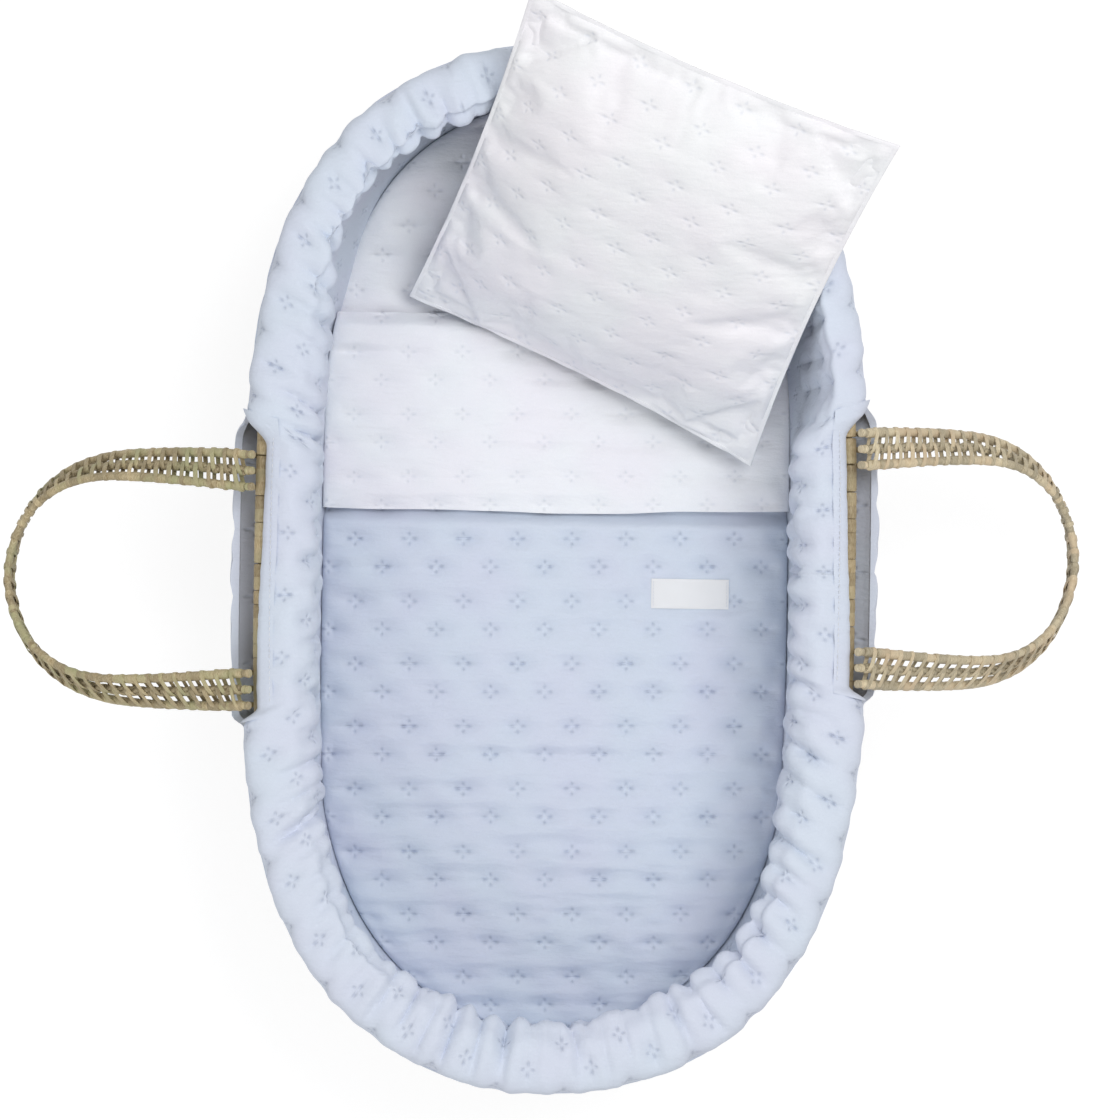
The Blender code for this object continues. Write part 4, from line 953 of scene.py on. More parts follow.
def gathers(u, v, end, foot):
    """How deep the cloth is creased where it is gathered on the inner side of the roll."""
    count = round(RIM_LENGTH / 0.0252)
    phase = np.mod(u / RIM_LENGTH * count + 0.34 * noise2(u / 0.055, v / 0.050, 3.0), count)
    number = np.mod(np.round(phase), count)
    away = np.abs(phase - np.round(phase))
    strength = 0.35 + 0.95 * lattice(number, 1.0, 9.0)
    begin = 0.028 - 0.020 * end * lattice(number, 2.0, 9.0) - 0.006 * foot
    depth = (0.0052 + 0.0012 * foot) * strength * ramp(v, begin, begin + 0.030)
    crease = np.exp(-((away / 0.13) ** 1.2))
    hollow = 1.0 - np.abs(np.sin(math.pi * phase))
    return depth * (0.60 * crease + 0.55 * hollow)


def make_bumper():
    """The quilted roll round the rim with its gathered inner face."""
    stations = 900
    run, x, y = rim_stations(stations)
    steps = ROLL_STEPS
    section = section_points(roll_sections(x, y), steps)
    points = oval_place(x[:, None], y[:, None], section[:, :, 0], section[:, :, 1])
    length = np.linalg.norm(np.diff(points, axis=1, append=points[:, :1]), axis=2)
    across = np.cumsum(length, axis=1) - length
    starts = np.concatenate([[0], np.cumsum(steps)])
    v = across - across[:, starts[SEAM_KEY]][:, None]
    u = np.broadcast_to(run[:, None], v.shape)
    seen = ramp(v, -0.008, 0.003) * (1 - ramp(v, 0.145, 0.185))
    end = ramp(np.abs(y), 0.62, 0.90)[:, None]
    foot = end * (y < 0)[:, None]
    flat = pressed(x, y)[:, None]
    cut = slot_share(x, y)[:, None]
    cloth_u, cloth_v = v - 0.0155 - 0.0070 * cut, u * RING_STRETCH
    relief = tuft_relief(cloth_u, cloth_v, 0.0040, 0.0009)
    relief = relief + 0.0012 * fractal(u / 0.030, v / 0.060, 11.0, 3)
    relief = relief + 0.0005 * fractal(u / 0.010, v / 0.030, 17.0, 2)
    relief = relief + 0.0019 * end * ramp(v, 0.002, 0.030) * fractal(u / 0.016, v / 0.070, 19.0, 3)
    relief = relief - gathers(u, v, end, foot) * (1 - 0.7 * flat)
    pinch = np.argmin(np.abs(y - PINCH_ALONG / HALF_LENGTH) + (x > 0) * 9.0)
    away = np.mod(u - run[pinch] + RIM_LENGTH / 2, RIM_LENGTH) - RIM_LENGTH / 2
    relief = relief - 0.0095 * ramp(v, 0.016, 0.050) * np.exp(-((np.abs(away) / 0.006) ** 1.3))
    near_edge = np.exp(-((v / 0.012) ** 2)) * cut
    slimmer = 0.0046 * np.exp(-(((v - 0.003) / 0.015) ** 2)) * (1 - cut)
    relief = relief * (1 - 0.8 * near_edge) * seen - 0.0015 - slimmer
    normal = grid_normals(points, wrap_first=True)
    if (normal[:, starts[CREST_KEY], 2]).mean() < 0:
        normal = -normal
    points = points + normal * relief[:, :, None] * seen[:, :, None]
    points[:, :, 2] = np.minimum(points[:, :, 2], COVER_HIGHEST)
    uv = np.stack([cloth_u, cloth_v], axis=2).reshape(-1, 2)
    cover = new_mesh("quilted_roll", points.reshape(-1, 3), ring_faces(stations, points.shape[1]), uv)
    face_outwards(cover)
    finish_piece(cover, finish_named("blue_cotton"), "basket", ("cover_bumper",))


def make_skirt():
    """The outer fall of the cover: quilted, billowing, and gathered on its elastic."""
    stations = 760
    run, x, y = rim_stations(stations)
    depth = SKIRT_TOP - SKIRT_HEM
    share = eased(slot_share(x, y))
    outer = np.zeros((stations, len(SKIRT_LEVELS), 2))
    for rank, (fall, offset, bulge) in enumerate(SKIRT_LEVELS):
        dip = 0.0150 * share * max(0.0, 1.0 - fall / 0.2)
        outer[:, rank, 0] = offset + 0.011 * bulge * share
        outer[:, rank, 1] = SKIRT_TOP - fall * depth - dip
    fine = 5
    t = np.arange((len(SKIRT_LEVELS) - 1) * fine + 1) / fine
    line = np.stack([sampled(t, np.arange(len(SKIRT_LEVELS)), outer[s]) for s in range(stations)])
    points = oval_place(x[:, None], y[:, None], line[:, :, 0], line[:, :, 1])
    fall = (SKIRT_TOP - line[:, :, 1]) / depth
    plain = np.maximum(line[:, :, 0] - 0.0042, 0.0012)
    lining = np.interp(fall, (0.107, 0.150, 0.200, 0.250), (0.0210, 0.0165, 0.0075, 0.0014))
    lining = plain + (np.minimum(lining, plain) - plain) * share[:, None]
    inside = oval_place(x[:, None], y[:, None], lining, line[:, :, 1])
    u = np.broadcast_to(run[:, None], fall.shape)
    v = fall * depth
    ruffle = np.abs(np.sin(math.pi * (u + 0.006 * noise2(u / 0.06, u * 0.0, 21.0)) / 0.017)) ** 1.4
    cloth_u, cloth_v = v - 0.026, u * RING_STRETCH
    relief = tuft_relief(cloth_u, cloth_v, 0.0026, 0.0007) - 0.0012
    relief = relief + 0.0011 * fractal(u / 0.035, v / 0.075, 23.0, 3)
    relief = relief * (1 - 0.6 * ramp(fall, 0.80, 0.92))
    relief = relief + ramp(fall, 0.45, 0.88) * (ruffle - 0.55) * 0.0030 * (1 - 0.4 * ramp(fall, 0.93, 1.0))
    relief = relief * (0.35 + 0.65 * ramp(fall, 0.0, 0.06))
    normal = grid_normals(points, wrap_first=True)
    sign = np.sign((normal[0, 5, 0]) * x[0])
    points = points + normal * sign * relief[:, :, None]
    whole = np.concatenate([points, inside[:, ::-1]], axis=1)
    uv = np.stack([cloth_u, cloth_v], axis=2)
    uv = np.concatenate([uv, uv[:, ::-1]], axis=1).reshape(-1, 2)
    skirt = new_mesh("cover_fall", whole.reshape(-1, 3), ring_faces(stations, whole.shape[1]), uv)
    face_outwards(skirt)
    finish_piece(skirt, finish_named("blue_cotton"), "basket", ("cover_skirt",))


def make_hem():
    """The elastic tape inside the cover's hem, gathered in small waves."""
    elastic = finish_named("elastic_tape")
    run, x, y = rim_stations(240)
    wave = 0.00035 * np.sin(run / RIM_LENGTH * 2 * math.pi * 90)
    lines = [oval_place(x, y, 0.0011 + wave, SKIRT_HEM + 0.0045)]
    band = swept("hem_tape", lines, (0.0006, 0.0040, 1.0), 8, elastic, closed=True)
    finish_piece(band, elastic, "basket", ("hem_elastic",))


def make_binding(word):
    """The bound edge of a handle slot with its row of stitches."""
    foot, head = slot_ends(word)
    side = HANDLES[word]["side"]
    along = np.linspace(foot + 0.004, head - 0.004, 150)
    unit_y = along / HALF_LENGTH
    unit_x = side * across_share(unit_y)
    keys = roll_keys(unit_x, unit_y)[:, 3:10]
    away = unit(keys - np.array((-0.012, 0.2556)))
    ripple = 0.0003 * noise2(along / 0.006, along * 0.0, 5.0)
    inner, outer = keys + away * 0.0009, keys + away * 0.0024 + ripple[:, None, None]
    profile = np.concatenate([outer, inner[:, ::-1]], axis=1)
    points = oval_place(unit_x[:, None], unit_y[:, None], profile[:, :, 0], profile[:, :, 1])
    count = profile.shape[1]
    faces = ring_faces(len(along), count, closed=False)
    uv = np.stack(np.broadcast_arrays(along[:, None], np.arange(count)[None] * 0.002 + 0.012), axis=2).reshape(-1, 2)
    piece = new_mesh(f"{word}_slot_edge", points.reshape(-1, 3), faces, uv)
    face_outwards(piece)
    finish_piece(piece, finish_named("plain_blue"), "basket", (f"{word}_slot_binding",))
    number = int((head - foot - 0.03) / 0.0042)
    unit_y = np.linspace(foot + 0.016, head - 0.016, number) / HALF_LENGTH
    place = oval_place(side * across_share(unit_y), unit_y, -0.0105, 0.2647)
    route = route_points(place, unit(np.gradient(place, axis=0)), alike((0.0, 0.0, 1.0), number))
    thread = finish_named("thread")
    row = repeated(f"{word}_slot_stitches", barrel(0.00035, 0.0027, sides=6), route, 41, thread)
    finish_piece(row, thread, "basket")


# Bedding

# How far inside the wall's outer face the mattress lies
MATTRESS_GAP = 0.0189
MATTRESS_FLOOR = 0.0063
MATTRESS_TOP = 0.058
COVERLET_HEAD = 0.2025
COVERLET_FOOT = -0.3710
COVERLET_FLOOR = 0.0585
BAND_HEAD = 0.2045
BAND_FOOT = 0.0445
BAND_FLOOR = 0.0890
LABEL_HALF = (0.03125, 0.0120)
LABEL_PLACE = (0.1092, -0.0196, 0.0999)


def oval_pad(rows, columns, low, high, reach):
    """Places of a grid cut to the oval: distance along, share across and the distance from the sides."""
    along = np.linspace(low, high, rows)[:, None]
    share = np.linspace(-1.0, 1.0, columns)[None]
    share = np.sign(share) * (1 - (1 - np.abs(share)) ** 1.25)
    half = reach(along)
    across = share * half
    margin = half - np.abs(across)
    return np.broadcast_to(along, across.shape), across, margin


def bed_reach(along, height=0.110):
    """Half the width that bedding may take, pressed into the padding and inside the wall."""
    share = np.minimum(1.0, np.abs(along) / (0.0060 - COVERLET_FOOT))
    padding = 0.1885 * np.sqrt(1 - share**4.6)
    wall = oval_half_width(along, HALF_WIDTH - 0.0120 - FLARE_ACROSS * lean(height),
                           HALF_LENGTH - 0.0090 - FLARE_ALONG * lean(height))
    return np.minimum(padding, wall)


def laid_cloth(across, along):
    """Places on a cloth that lies square to the photograph and has a tuft at its own origin."""
    turn = math.radians(0.9)
    u = across * math.cos(turn) + along * math.sin(turn) + 0.0085
    v = along * math.cos(turn) - across * math.sin(turn) - 0.0006
    return u, v


def pad_mesh(name, along, across, top, floor, inset, cloth, hold=1.0):
    """A closed pad from its top surface, a floor height and an underside smaller by an inset."""
    rows, columns = top.shape
    upper = np.stack([across, along, top], axis=2)
    scale_x = 1 - inset / np.maximum(np.abs(across).max(axis=1, keepdims=True), 0.02)
    shift = np.linspace(np.max(inset) * 0.5, -np.max(inset) * 0.5, rows)[:, None]
    lower = np.stack([across * scale_x, along + shift, np.full_like(top, floor)], axis=2)
    middle = upper * 0.5 + lower * 0.5
    middle[:, :, :2] = lower[:, :, :2] + (upper - lower)[:, :, :2] * hold
    border = grid_border(rows, columns)
    size, number = rows * columns, len(border)
    points = np.concatenate([upper.reshape(-1, 3), lower.reshape(-1, 3), middle.reshape(-1, 3)[border]])
    faces = pair_faces(rows, columns)
    for k in range(number):
        n = (k + 1) % number
        a, b = border[k], border[n]
        faces.append((a, b, 2 * size + n, 2 * size + k))
        faces.append((2 * size + k, 2 * size + n, size + b, size + a))
    cloth = cloth.reshape(-1, 2)
    item = new_mesh(name, points, faces, np.concatenate([cloth, cloth, cloth[border]]))
    face_outwards(item)
    return item


def dome(margin, rounding):
    """How far a pad has risen at a distance from its edge, from 0 to 1."""
    share = np.clip(margin / rounding, 0.0, 1.0)
    return np.sqrt(1.0 - (1.0 - share) ** 2)


def make_mattress():
    """The tufted mattress with its rounded shoulder."""
    rows, columns = ((330, 190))
    length = HALF_LENGTH - MATTRESS_GAP - FLARE_ALONG * lean(0.045)
    width = HALF_WIDTH - MATTRESS_GAP - FLARE_ACROSS * lean(0.045)
    foot, head = length - 0.0015, 0.3735

    def raised(along):
        """1 on the full head part, which stands up past the band."""
        return ramp(along, 0.1990, 0.2015)

    def reach(along):
        """Half the width: under the coverlet that of the floor, at the head that of the padding."""
        plain = oval_half_width(along, width, foot + 0.0015)
        puffed = 0.1925 * np.sqrt(1 - np.minimum(1.0, np.abs(along) / (head + 0.001)) ** 3.6)
        return plain + (puffed - plain) * raised(along)

    along, across, margin = oval_pad(rows, columns, -foot, head, reach)
    margin = np.minimum(margin, np.where(along > 0, head - along, foot + along) + 0.0004)
    rise = dome(margin, 0.045)
    low = 0.012 + (MATTRESS_TOP - 0.0125) * rise
    high = 0.0700 + 0.0150 * dome(margin, 0.030) + 0.040 * ramp(along, 0.220, 0.322)
    top = low + (high - low) * raised(along)
    u, v = laid_cloth(across, along)
    relief = tuft_relief(u, v, 0.0030, 0.0007) - 0.0034
    relief = relief + 0.0012 * fractal(across / 0.07, along / 0.016, 31.0, 3)
    relief = relief + 0.0014 * fractal(across / 0.05, along / 0.05, 33.0, 2)
    seen = ramp(along, 0.15, 0.19)
    top = top + relief * seen * ramp(margin, 0.0, 0.02) - 0.0006
    top = np.where(seen > 0.5, top, np.minimum(top, MATTRESS_TOP - 0.0002))
    top = np.where(along < BAND_HEAD + 0.003, np.minimum(top, BAND_FLOOR - 0.0012), top)
    inset = 0.006 + 0.012 * raised(along)
    cloth = np.stack([u, v], axis=2)
    pad = pad_mesh("tufted_mattress", along, across, top, MATTRESS_FLOOR, inset, cloth, 0.6)
    finish_piece(pad, finish_named("white_cotton"), "mattress", ("mattress_cover",))


def make_coverlet():
    """The blue coverlet: tufted, fuller toward the foot, with the wrinkles of a laid quilt."""
    rows, columns = ((290, 180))
    along, across, margin = oval_pad(rows, columns, COVERLET_FOOT, COVERLET_HEAD - 0.002, bed_reach)
    margin = np.minimum(margin, along - COVERLET_FOOT)
    loft = np.where(along > BAND_FOOT, 0.0290, 0.0425 + 0.0125 * (BAND_FOOT - along) / 0.4)
    loft = 0.0290 + (loft - 0.0290) * (1 - ramp(along, BAND_FOOT - 0.012, BAND_FOOT + 0.002))
    loft = loft + 0.0030 * np.exp(-((along + 0.29) / 0.05) ** 2)
    rise = dome(margin, 0.026)
    edge = loft * (0.62 + 0.12 * ramp(-along, 0.05, 0.30))
    top = COVERLET_FLOOR + edge + (loft - edge) * rise
    open_part = 1 - ramp(along, BAND_FOOT - 0.002, BAND_FOOT + 0.006)
    u, v = laid_cloth(across, along)
    relief = tuft_relief(u, v, 0.0052, 0.0009) - 0.0052
    toward_foot = ramp(-along, 0.05, 0.26)
    relief = relief + (0.0008 + 0.0014 * toward_foot) * fractal(across / 0.090, along / 0.013, 41.0, 3)
    relief = relief + 0.0010 * fractal(across / 0.05, along / 0.05, 43.0, 2)
    sides = 1 - ramp(margin, 0.010, 0.045)
    relief = relief - 0.0022 * sides * np.abs(noise2(across / 0.08, along / 0.011, 47.0))
    top = top + relief * open_part * ramp(margin, 0.0, 0.012)
    label = np.exp(-(np.maximum(0, np.abs(across - LABEL_PLACE[0]) - LABEL_HALF[0]) / 0.006) ** 2
                   - (np.maximum(0, np.abs(along - LABEL_PLACE[1]) - LABEL_HALF[1]) / 0.005) ** 2)
    top = top * (1 - label) + (COVERLET_FLOOR + 0.0405) * label
    cloth = np.stack([u, v], axis=2)
    pad = pad_mesh("blue_coverlet", along, across, top, COVERLET_FLOOR, 0.018, cloth, 0.8)
    finish_piece(pad, finish_named("blue_cotton"), "coverlet", ("coverlet",))


def make_band():
    """The white head end of the coverlet, turned back in a soft fold."""
    rows, columns = ((150, 190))
    along, across, margin = oval_pad(rows, columns, BAND_FOOT, BAND_HEAD, lambda a: bed_reach(a, 0.092))
    skew = 0.0016 * across / 0.185 + 0.0018 * (across / 0.185) ** 2
    wander = 0.0016 * noise2(across / 0.05, across * 0.0, 51.0)
    skewed = skew * (1 - ramp(along, 0.10, 0.14))
    along = along + skewed + wander * (1 - ramp(along, BAND_FOOT + 0.02, BAND_FOOT + 0.05))
    fold = np.minimum(BAND_HEAD - along + 0.0005, margin)
    rise = dome(np.minimum(fold, along - BAND_FOOT + 0.004), 0.020)
    top = BAND_FLOOR + 0.0030 + 0.0080 * rise
    top = top - 0.010 * (1 - ramp(BAND_HEAD - along, 0.0, 0.012)) * 0.6
    u, v = laid_cloth(across, along)
    relief = tuft_relief(u, v, 0.0030, 0.0007) - 0.0026
    relief = relief + 0.0009 * fractal(across / 0.09, along / 0.015, 53.0, 3)
    corner = np.exp(-(((across + 0.165) / 0.030) ** 2) - ((along - 0.172) / 0.0042) ** 2)
    top = top + relief * ramp(margin, 0.0, 0.014) - 0.0032 * corner
    cloth = np.stack([u, v], axis=2)
    pad = pad_mesh("turned_band", along, across, top, BAND_FLOOR - 0.0006, 0.004, cloth)
    finish_piece(pad, finish_named("white_cotton"), "coverlet", ("turned_down_band",))


def make_label():
    """The bare woven label with its folded ends and stitching."""
    half_x, half_y = LABEL_HALF
    middle = np.array(LABEL_PLACE)
    nx, ny = 40, 16
    px, py = np.meshgrid(np.linspace(-1, 1, nx), np.linspace(-1, 1, ny), indexing="ij")
    soft = 0.0004 * noise2(px * 2.2, py * 1.6, 61.0)
    edge = np.minimum(1 - np.abs(px), 1 - np.abs(py))
    top = 0.0006 + soft - 0.0005 * np.exp(-(edge / 0.08) ** 2) + 0.00025 * (np.abs(px) > 0.90)
    upper = np.stack([px * half_x, py * half_y, top], axis=2) + middle
    lower = np.stack([px * half_x, py * half_y, soft - 0.0004], axis=2) + middle
    points = np.concatenate([upper.reshape(-1, 3), lower.reshape(-1, 3)])
    label = new_mesh("bare_label", points, shell_faces(nx, ny))
    face_outwards(label)
    finish_piece(label, finish_named("label_cloth"), "coverlet", ("coverlet_label",))
    spots = np.linspace(-0.0092, 0.0092, 8)
    place = middle + np.array([(s * (half_x - 0.0017), t, 0.0009) for s in (-1, 1) for t in spots])
    route = route_points(place, alike((0.0, 1.0, 0.0), len(place)), alike((0.0, 0.0, 1.0), len(place)))
    thread = finish_named("thread")
    row = repeated("label_stitches", barrel(0.0002, 0.0019, sides=6), route, 43, thread)
    finish_piece(row, thread, "coverlet")


def make_foam():
    """The foam inside the mattress cover."""
    width = HALF_WIDTH - MATTRESS_GAP - FLARE_ACROSS * lean(0.03) - 0.0070
    length = HALF_LENGTH - MATTRESS_GAP - FLARE_ALONG * lean(0.03) - 0.0070
    limit = length - 0.002
    along, across, margin = oval_pad(60, 36, -limit, limit, lambda a: oval_half_width(a, width, length))
    margin = np.minimum(margin, limit - np.abs(along) + 0.0004)
    top = 0.0150 + 0.0340 * dome(margin, 0.050)
    cloth = np.stack([across, along], axis=2)
    foam = pad_mesh("mattress_filling", along, across, top, 0.0118, 0.004, cloth)
    finish_piece(foam, finish_named("foam"), "mattress", ("mattress_foam",))


# Pillow

PILLOW_WIDTH = 0.303
PILLOW_LENGTH = 0.328
PILLOW_HALF_LOFT = 0.034
PILLOW_FLANGE = 0.0030
PILLOW_RISE = math.radians(42.0)
PILLOW_PLACE = Matrix.Translation((0.067, 0.267, 0.2545)) @ Matrix.Rotation(math.radians(-27.0), 4, "Z") @ (
    Matrix.Rotation(math.radians(-5.0), 4, "Y") @ Matrix.Rotation(PILLOW_RISE, 4, "X"))
# How far each corner of the soft pillow is pulled across and along the basket
PILLOW_CORNERS = (
    (-1, 1, -0.0013, -0.0154), (1, 1, 0.0013, 0.0070), (1, -1, -0.0031, 0.0030), (-1, -1, -0.0058, -0.0036),
)
# Where the tufts' rows lie on the pillow's faces, across with the face's sign and along
PILLOW_CLOTH = (0.010, 0.004)
# The section of the sewn edge, as shares of the flange and heights
FLANGE_SECTION = (
    (-0.2, 0.0011), (0.5, 0.0010), (0.9, 0.0008), (1.0, 0.0), (0.9, -0.0008), (0.5, -0.0010), (-0.2, -0.0011),
)
CLOTH_FRAMES = 20


def pillow_plan(u, v, growth=0.0):
    """A place in the plan of the pillow, whose sides are drawn in between its corners."""
    waist_u, waist_v = 1 - 0.045 * (1 - v * v), 1 - 0.045 * (1 - u * u)
    return u * (PILLOW_WIDTH / 2 + growth) * waist_u, v * (PILLOW_LENGTH / 2 + growth) * waist_v


def pillow_world(points, u, v):
    """Points of the pillow's own frame after its foot side has sunk, in the basket's frame."""
    drop = 0.030 * ((1.0 - v) / 2.0) ** 2
    points = points.copy()
    points[..., 1] -= drop * math.sin(PILLOW_RISE)
    points[..., 2] -= drop * math.cos(PILLOW_RISE)
    turn = np.array(PILLOW_PLACE)
    points = points @ turn[:3, :3].T + turn[:3, 3]
    for side, end, across, along in PILLOW_CORNERS:
        weight = (1 + side * u) * (1 + end * v) / 4
        points[..., 0] += across * weight
        points[..., 1] += along * weight
    return points


def finer(grid):
    """The same surface with a point between every two, on smooth curves."""
    for axis in (0, 1):
        grid = np.moveaxis(grid, axis, 0)
        ends = np.concatenate([2 * grid[:1] - grid[1:2], grid, 2 * grid[-1:] - grid[-2:-1]])
        between = (9 * (ends[1:-2] + ends[2:-1]) - (ends[:-3] + ends[3:])) / 16
        out = np.empty((2 * len(grid) - 1,) + grid.shape[1:])
        out[0::2], out[1::2] = grid, between
        grid = np.moveaxis(out, 0, axis)
    return grid


def inflate(item, border, surplus, pressure):
    """Blows up a sewn case as cloth with its edge held, and returns the places of its vertices."""
    pins = item.vertex_groups.new(name="sewn_edge")
    pins.add([int(i) for i in border], 1.0, "REPLACE")
    cloth = item.modifiers.new("cloth", "CLOTH")
    settings = cloth.settings
    settings.quality = 6
    settings.mass = 0.25
    settings.tension_stiffness = settings.compression_stiffness = 18.0
    settings.shear_stiffness = 6.0
    settings.bending_stiffness = 0.35
    settings.shrink_min = -surplus
    settings.use_pressure = True
    settings.uniform_pressure_force = pressure
    settings.vertex_group_mass = pins.name
    settings.effector_weights.gravity = 0.0
    cloth.collision_settings.use_collision = False
    cloth.point_cache.frame_start, cloth.point_cache.frame_end = 1, CLOTH_FRAMES
    scene = bpy.context.scene
    for step in range(1, CLOTH_FRAMES + 1):
        scene.frame_set(step)
    shown = item.evaluated_get(bpy.context.evaluated_depsgraph_get())
    places = np.zeros(len(shown.data.vertices) * 3)
    shown.data.vertices.foreach_get("co", places)
    item.modifiers.remove(cloth)
    scene.frame_set(1)
    return places.reshape(-1, 3)


def unit_square(count):
    """A square grid of places from -1 to 1 across and along."""
    t = np.linspace(-1.0, 1.0, count)
    v, u = np.meshgrid(t, t, indexing="ij")
    return u, v


def blown_case(count, surplus):
    """The upper and the lower side of the pillow's case, blown up as cloth."""
    u, v = unit_square(count)
    across, along = pillow_plan(u, v)
    loft = 0.022 * np.sqrt((1 - u * u) * (1 - v * v)) + 0.0008
    sides = np.stack([np.stack([across, along, loft * face], axis=2) for face in (1.0, -1.0)])
    case = new_mesh("case", sides.reshape(-1, 3), shell_faces(count, count))
    face_outwards(case)
    border = grid_border(count, count)
    sides = inflate(case, np.concatenate([border, border + count * count]), surplus, 4.0).reshape(sides.shape)
    drop(case)
    ease = min(1.0, (PILLOW_HALF_LOFT + 0.001) / np.abs(sides[..., 2]).max())
    return sides * np.array((1.0, 1.0, ease))


def make_pillow(surplus):
    """The pillow: a case blown up as cloth, tufted, then laid over the head of the basket."""
    cells = 56
    fine = 2 * cells + 1
    u, v = unit_square(fine)
    across, along = pillow_plan(u, v)
    edge = np.minimum(1 - np.abs(u), 1 - np.abs(v))
    inside = ramp(edge, 0.0, 0.10)
    shift_u, shift_v = PILLOW_CLOTH
    skins, cloth = [], []
    for face, grid in zip((1.0, -1.0), blown_case(cells + 1, surplus)):
        grid = finer(grid)
        normal = grid_normals(grid)
        normal = normal * np.sign(normal[cells, cells, 2]) * face
        cloth_u, cloth_v = across + shift_u * face, along + shift_v
        relief = tuft_relief(cloth_u, cloth_v, 0.0007, 0.0006) - 0.0008
        relief = relief + 0.0013 * fractal(across / 0.07, along / 0.045, 71.0 + face, 3)
        pucker = np.abs(noise2(across / 0.011 * (np.abs(v) > np.abs(u)) + along / 0.011 * (np.abs(v) <= np.abs(u)),
                               edge * 3.0, 75.0))
        relief = relief - 0.0022 * pucker * np.exp(-((edge - 0.03) / 0.09) ** 2)
        skins.append(pillow_world(grid + normal * (relief * inside)[:, :, None], u, v))
        cloth.append(np.stack([cloth_u, cloth_v], axis=2))
    pillow = new_mesh("pillow_cushion", np.reshape(skins, (-1, 3)), shell_faces(fine, fine), np.reshape(cloth, (-1, 2)))
    face_outwards(pillow)
    finish_piece(pillow, finish_named("lightened_pillow_cotton"), "pillow", ("pillow_case", "pillow_filling"))
    border = grid_border(fine, fine)
    u, v = u.ravel()[border], v.ravel()[border]
    wave = 0.0007 * noise2(np.arange(len(border)) / 5.0, np.zeros(len(border)), 77.0)
    rings = []
    for share, height in FLANGE_SECTION:
        px, py = pillow_plan(u, v, share * PILLOW_FLANGE)
        rings.append(pillow_world(np.stack([px, py, height + wave * max(0.0, share)], axis=1), u, v))
    ring = np.stack(rings, axis=1)
    flange = new_mesh("pillow_flange", ring.reshape(-1, 3), ring_faces(len(border), len(rings)))
    face_outwards(flange)
    finish_piece(flange, finish_named("plain_white"), "pillow", ("pillow_seam",))


# Stage


def make_stage(shape):
    """A pale floor, soft light from above and the camera of the photograph."""
    floor_mesh = new_mesh("floor", [(-4, -4, -0.0006), (4, -4, -0.0006), (4, 4, -0.0006), (-4, 4, -0.0006)],
                          [(0, 1, 2, 3)])
    finish = bpy.data.materials.new("pale_floor")
    finish.use_nodes = True
    nodes = Nodes(finish.node_tree)
    finish.node_tree.nodes.remove(finish.node_tree.nodes["Principled BSDF"])
    plain = nodes.add("ShaderNodeBsdfDiffuse", {"Color": (0.86, 0.87, 0.88, 1.0)})
    pale = nodes.add("ShaderNodeBsdfDiffuse", {"Color": (0.30, 0.30, 0.30, 1.0)})
    glow = nodes.add("ShaderNodeEmission", {"Color": (1.0, 1.0, 1.0, 1.0), "Strength": 0.79})
    lit = nodes.add("ShaderNodeAddShader", {0: pale.outputs[0], 1: glow.outputs[0]})
    both = nodes.add("ShaderNodeMixShader", {0: nodes.seen_rays(), 1: plain.outputs[0], 2: lit.outputs[0]})
    nodes.feed(finish.node_tree.nodes["Material Output"], {"Surface": both.outputs[0]})
    floor_mesh.data.materials.append(finish)
    scene = bpy.context.scene
    world = bpy.data.worlds.new("studio")
    world.use_nodes = True
    sky = Nodes(world.node_tree)
    strength = sky.math("MULTIPLY_ADD", sky.seen_rays(), 1.0 - shape.sky_light, shape.sky_light)
    sky.feed(world.node_tree.nodes["Background"], {"Color": (1.0, 1.0, 1.0, 1.0), "Strength": strength})
    scene.world = world
    for name, place, size, power in (("key", (0.9, 0.75, 2.95), 1.5, shape.lamp_power),
                                     ("fill", (-1.1, -1.5, 2.3), 1.8, shape.lamp_power * 0.38)):
        lamp = bpy.data.lights.new(name, "AREA")
        lamp.shape, lamp.size, lamp.energy = "DISK", size, power
        item = bpy.data.objects.new(name, lamp)
        item.location = place
        item.rotation_euler = (Vector((0.0, 0.0, 0.15)) - Vector(place)).to_track_quat("-Z", "Y").to_euler()
        item.visible_camera = False
        scene.collection.objects.link(item)
    view = bpy.data.cameras.new("view")
    view.lens, view.sensor_width = shape.lens, 36.0
    view.clip_end = 20.0
    camera = bpy.data.objects.new("view", view)
    camera.location = (shape.view_across, shape.view_along, shape.view_height)
    camera.rotation_euler = (0.0, 0.0, shape.view_turn)
    scene.collection.objects.link(camera)
    scene.camera = camera
    scene.view_settings.view_transform = "Standard"


# Properties, operators and panel


def length_property(name, description, default):
    """A size in metres."""
    return bpy.props.FloatProperty(name=name, description=description, default=default, unit="LENGTH", precision=4)


def colour_property(name, description, default):
    """A colour without its fourth number."""
    return bpy.props.FloatVectorProperty(name=name, description=description, default=default, subtype="COLOR",
                                         size=3, min=0.0, max=1.0)


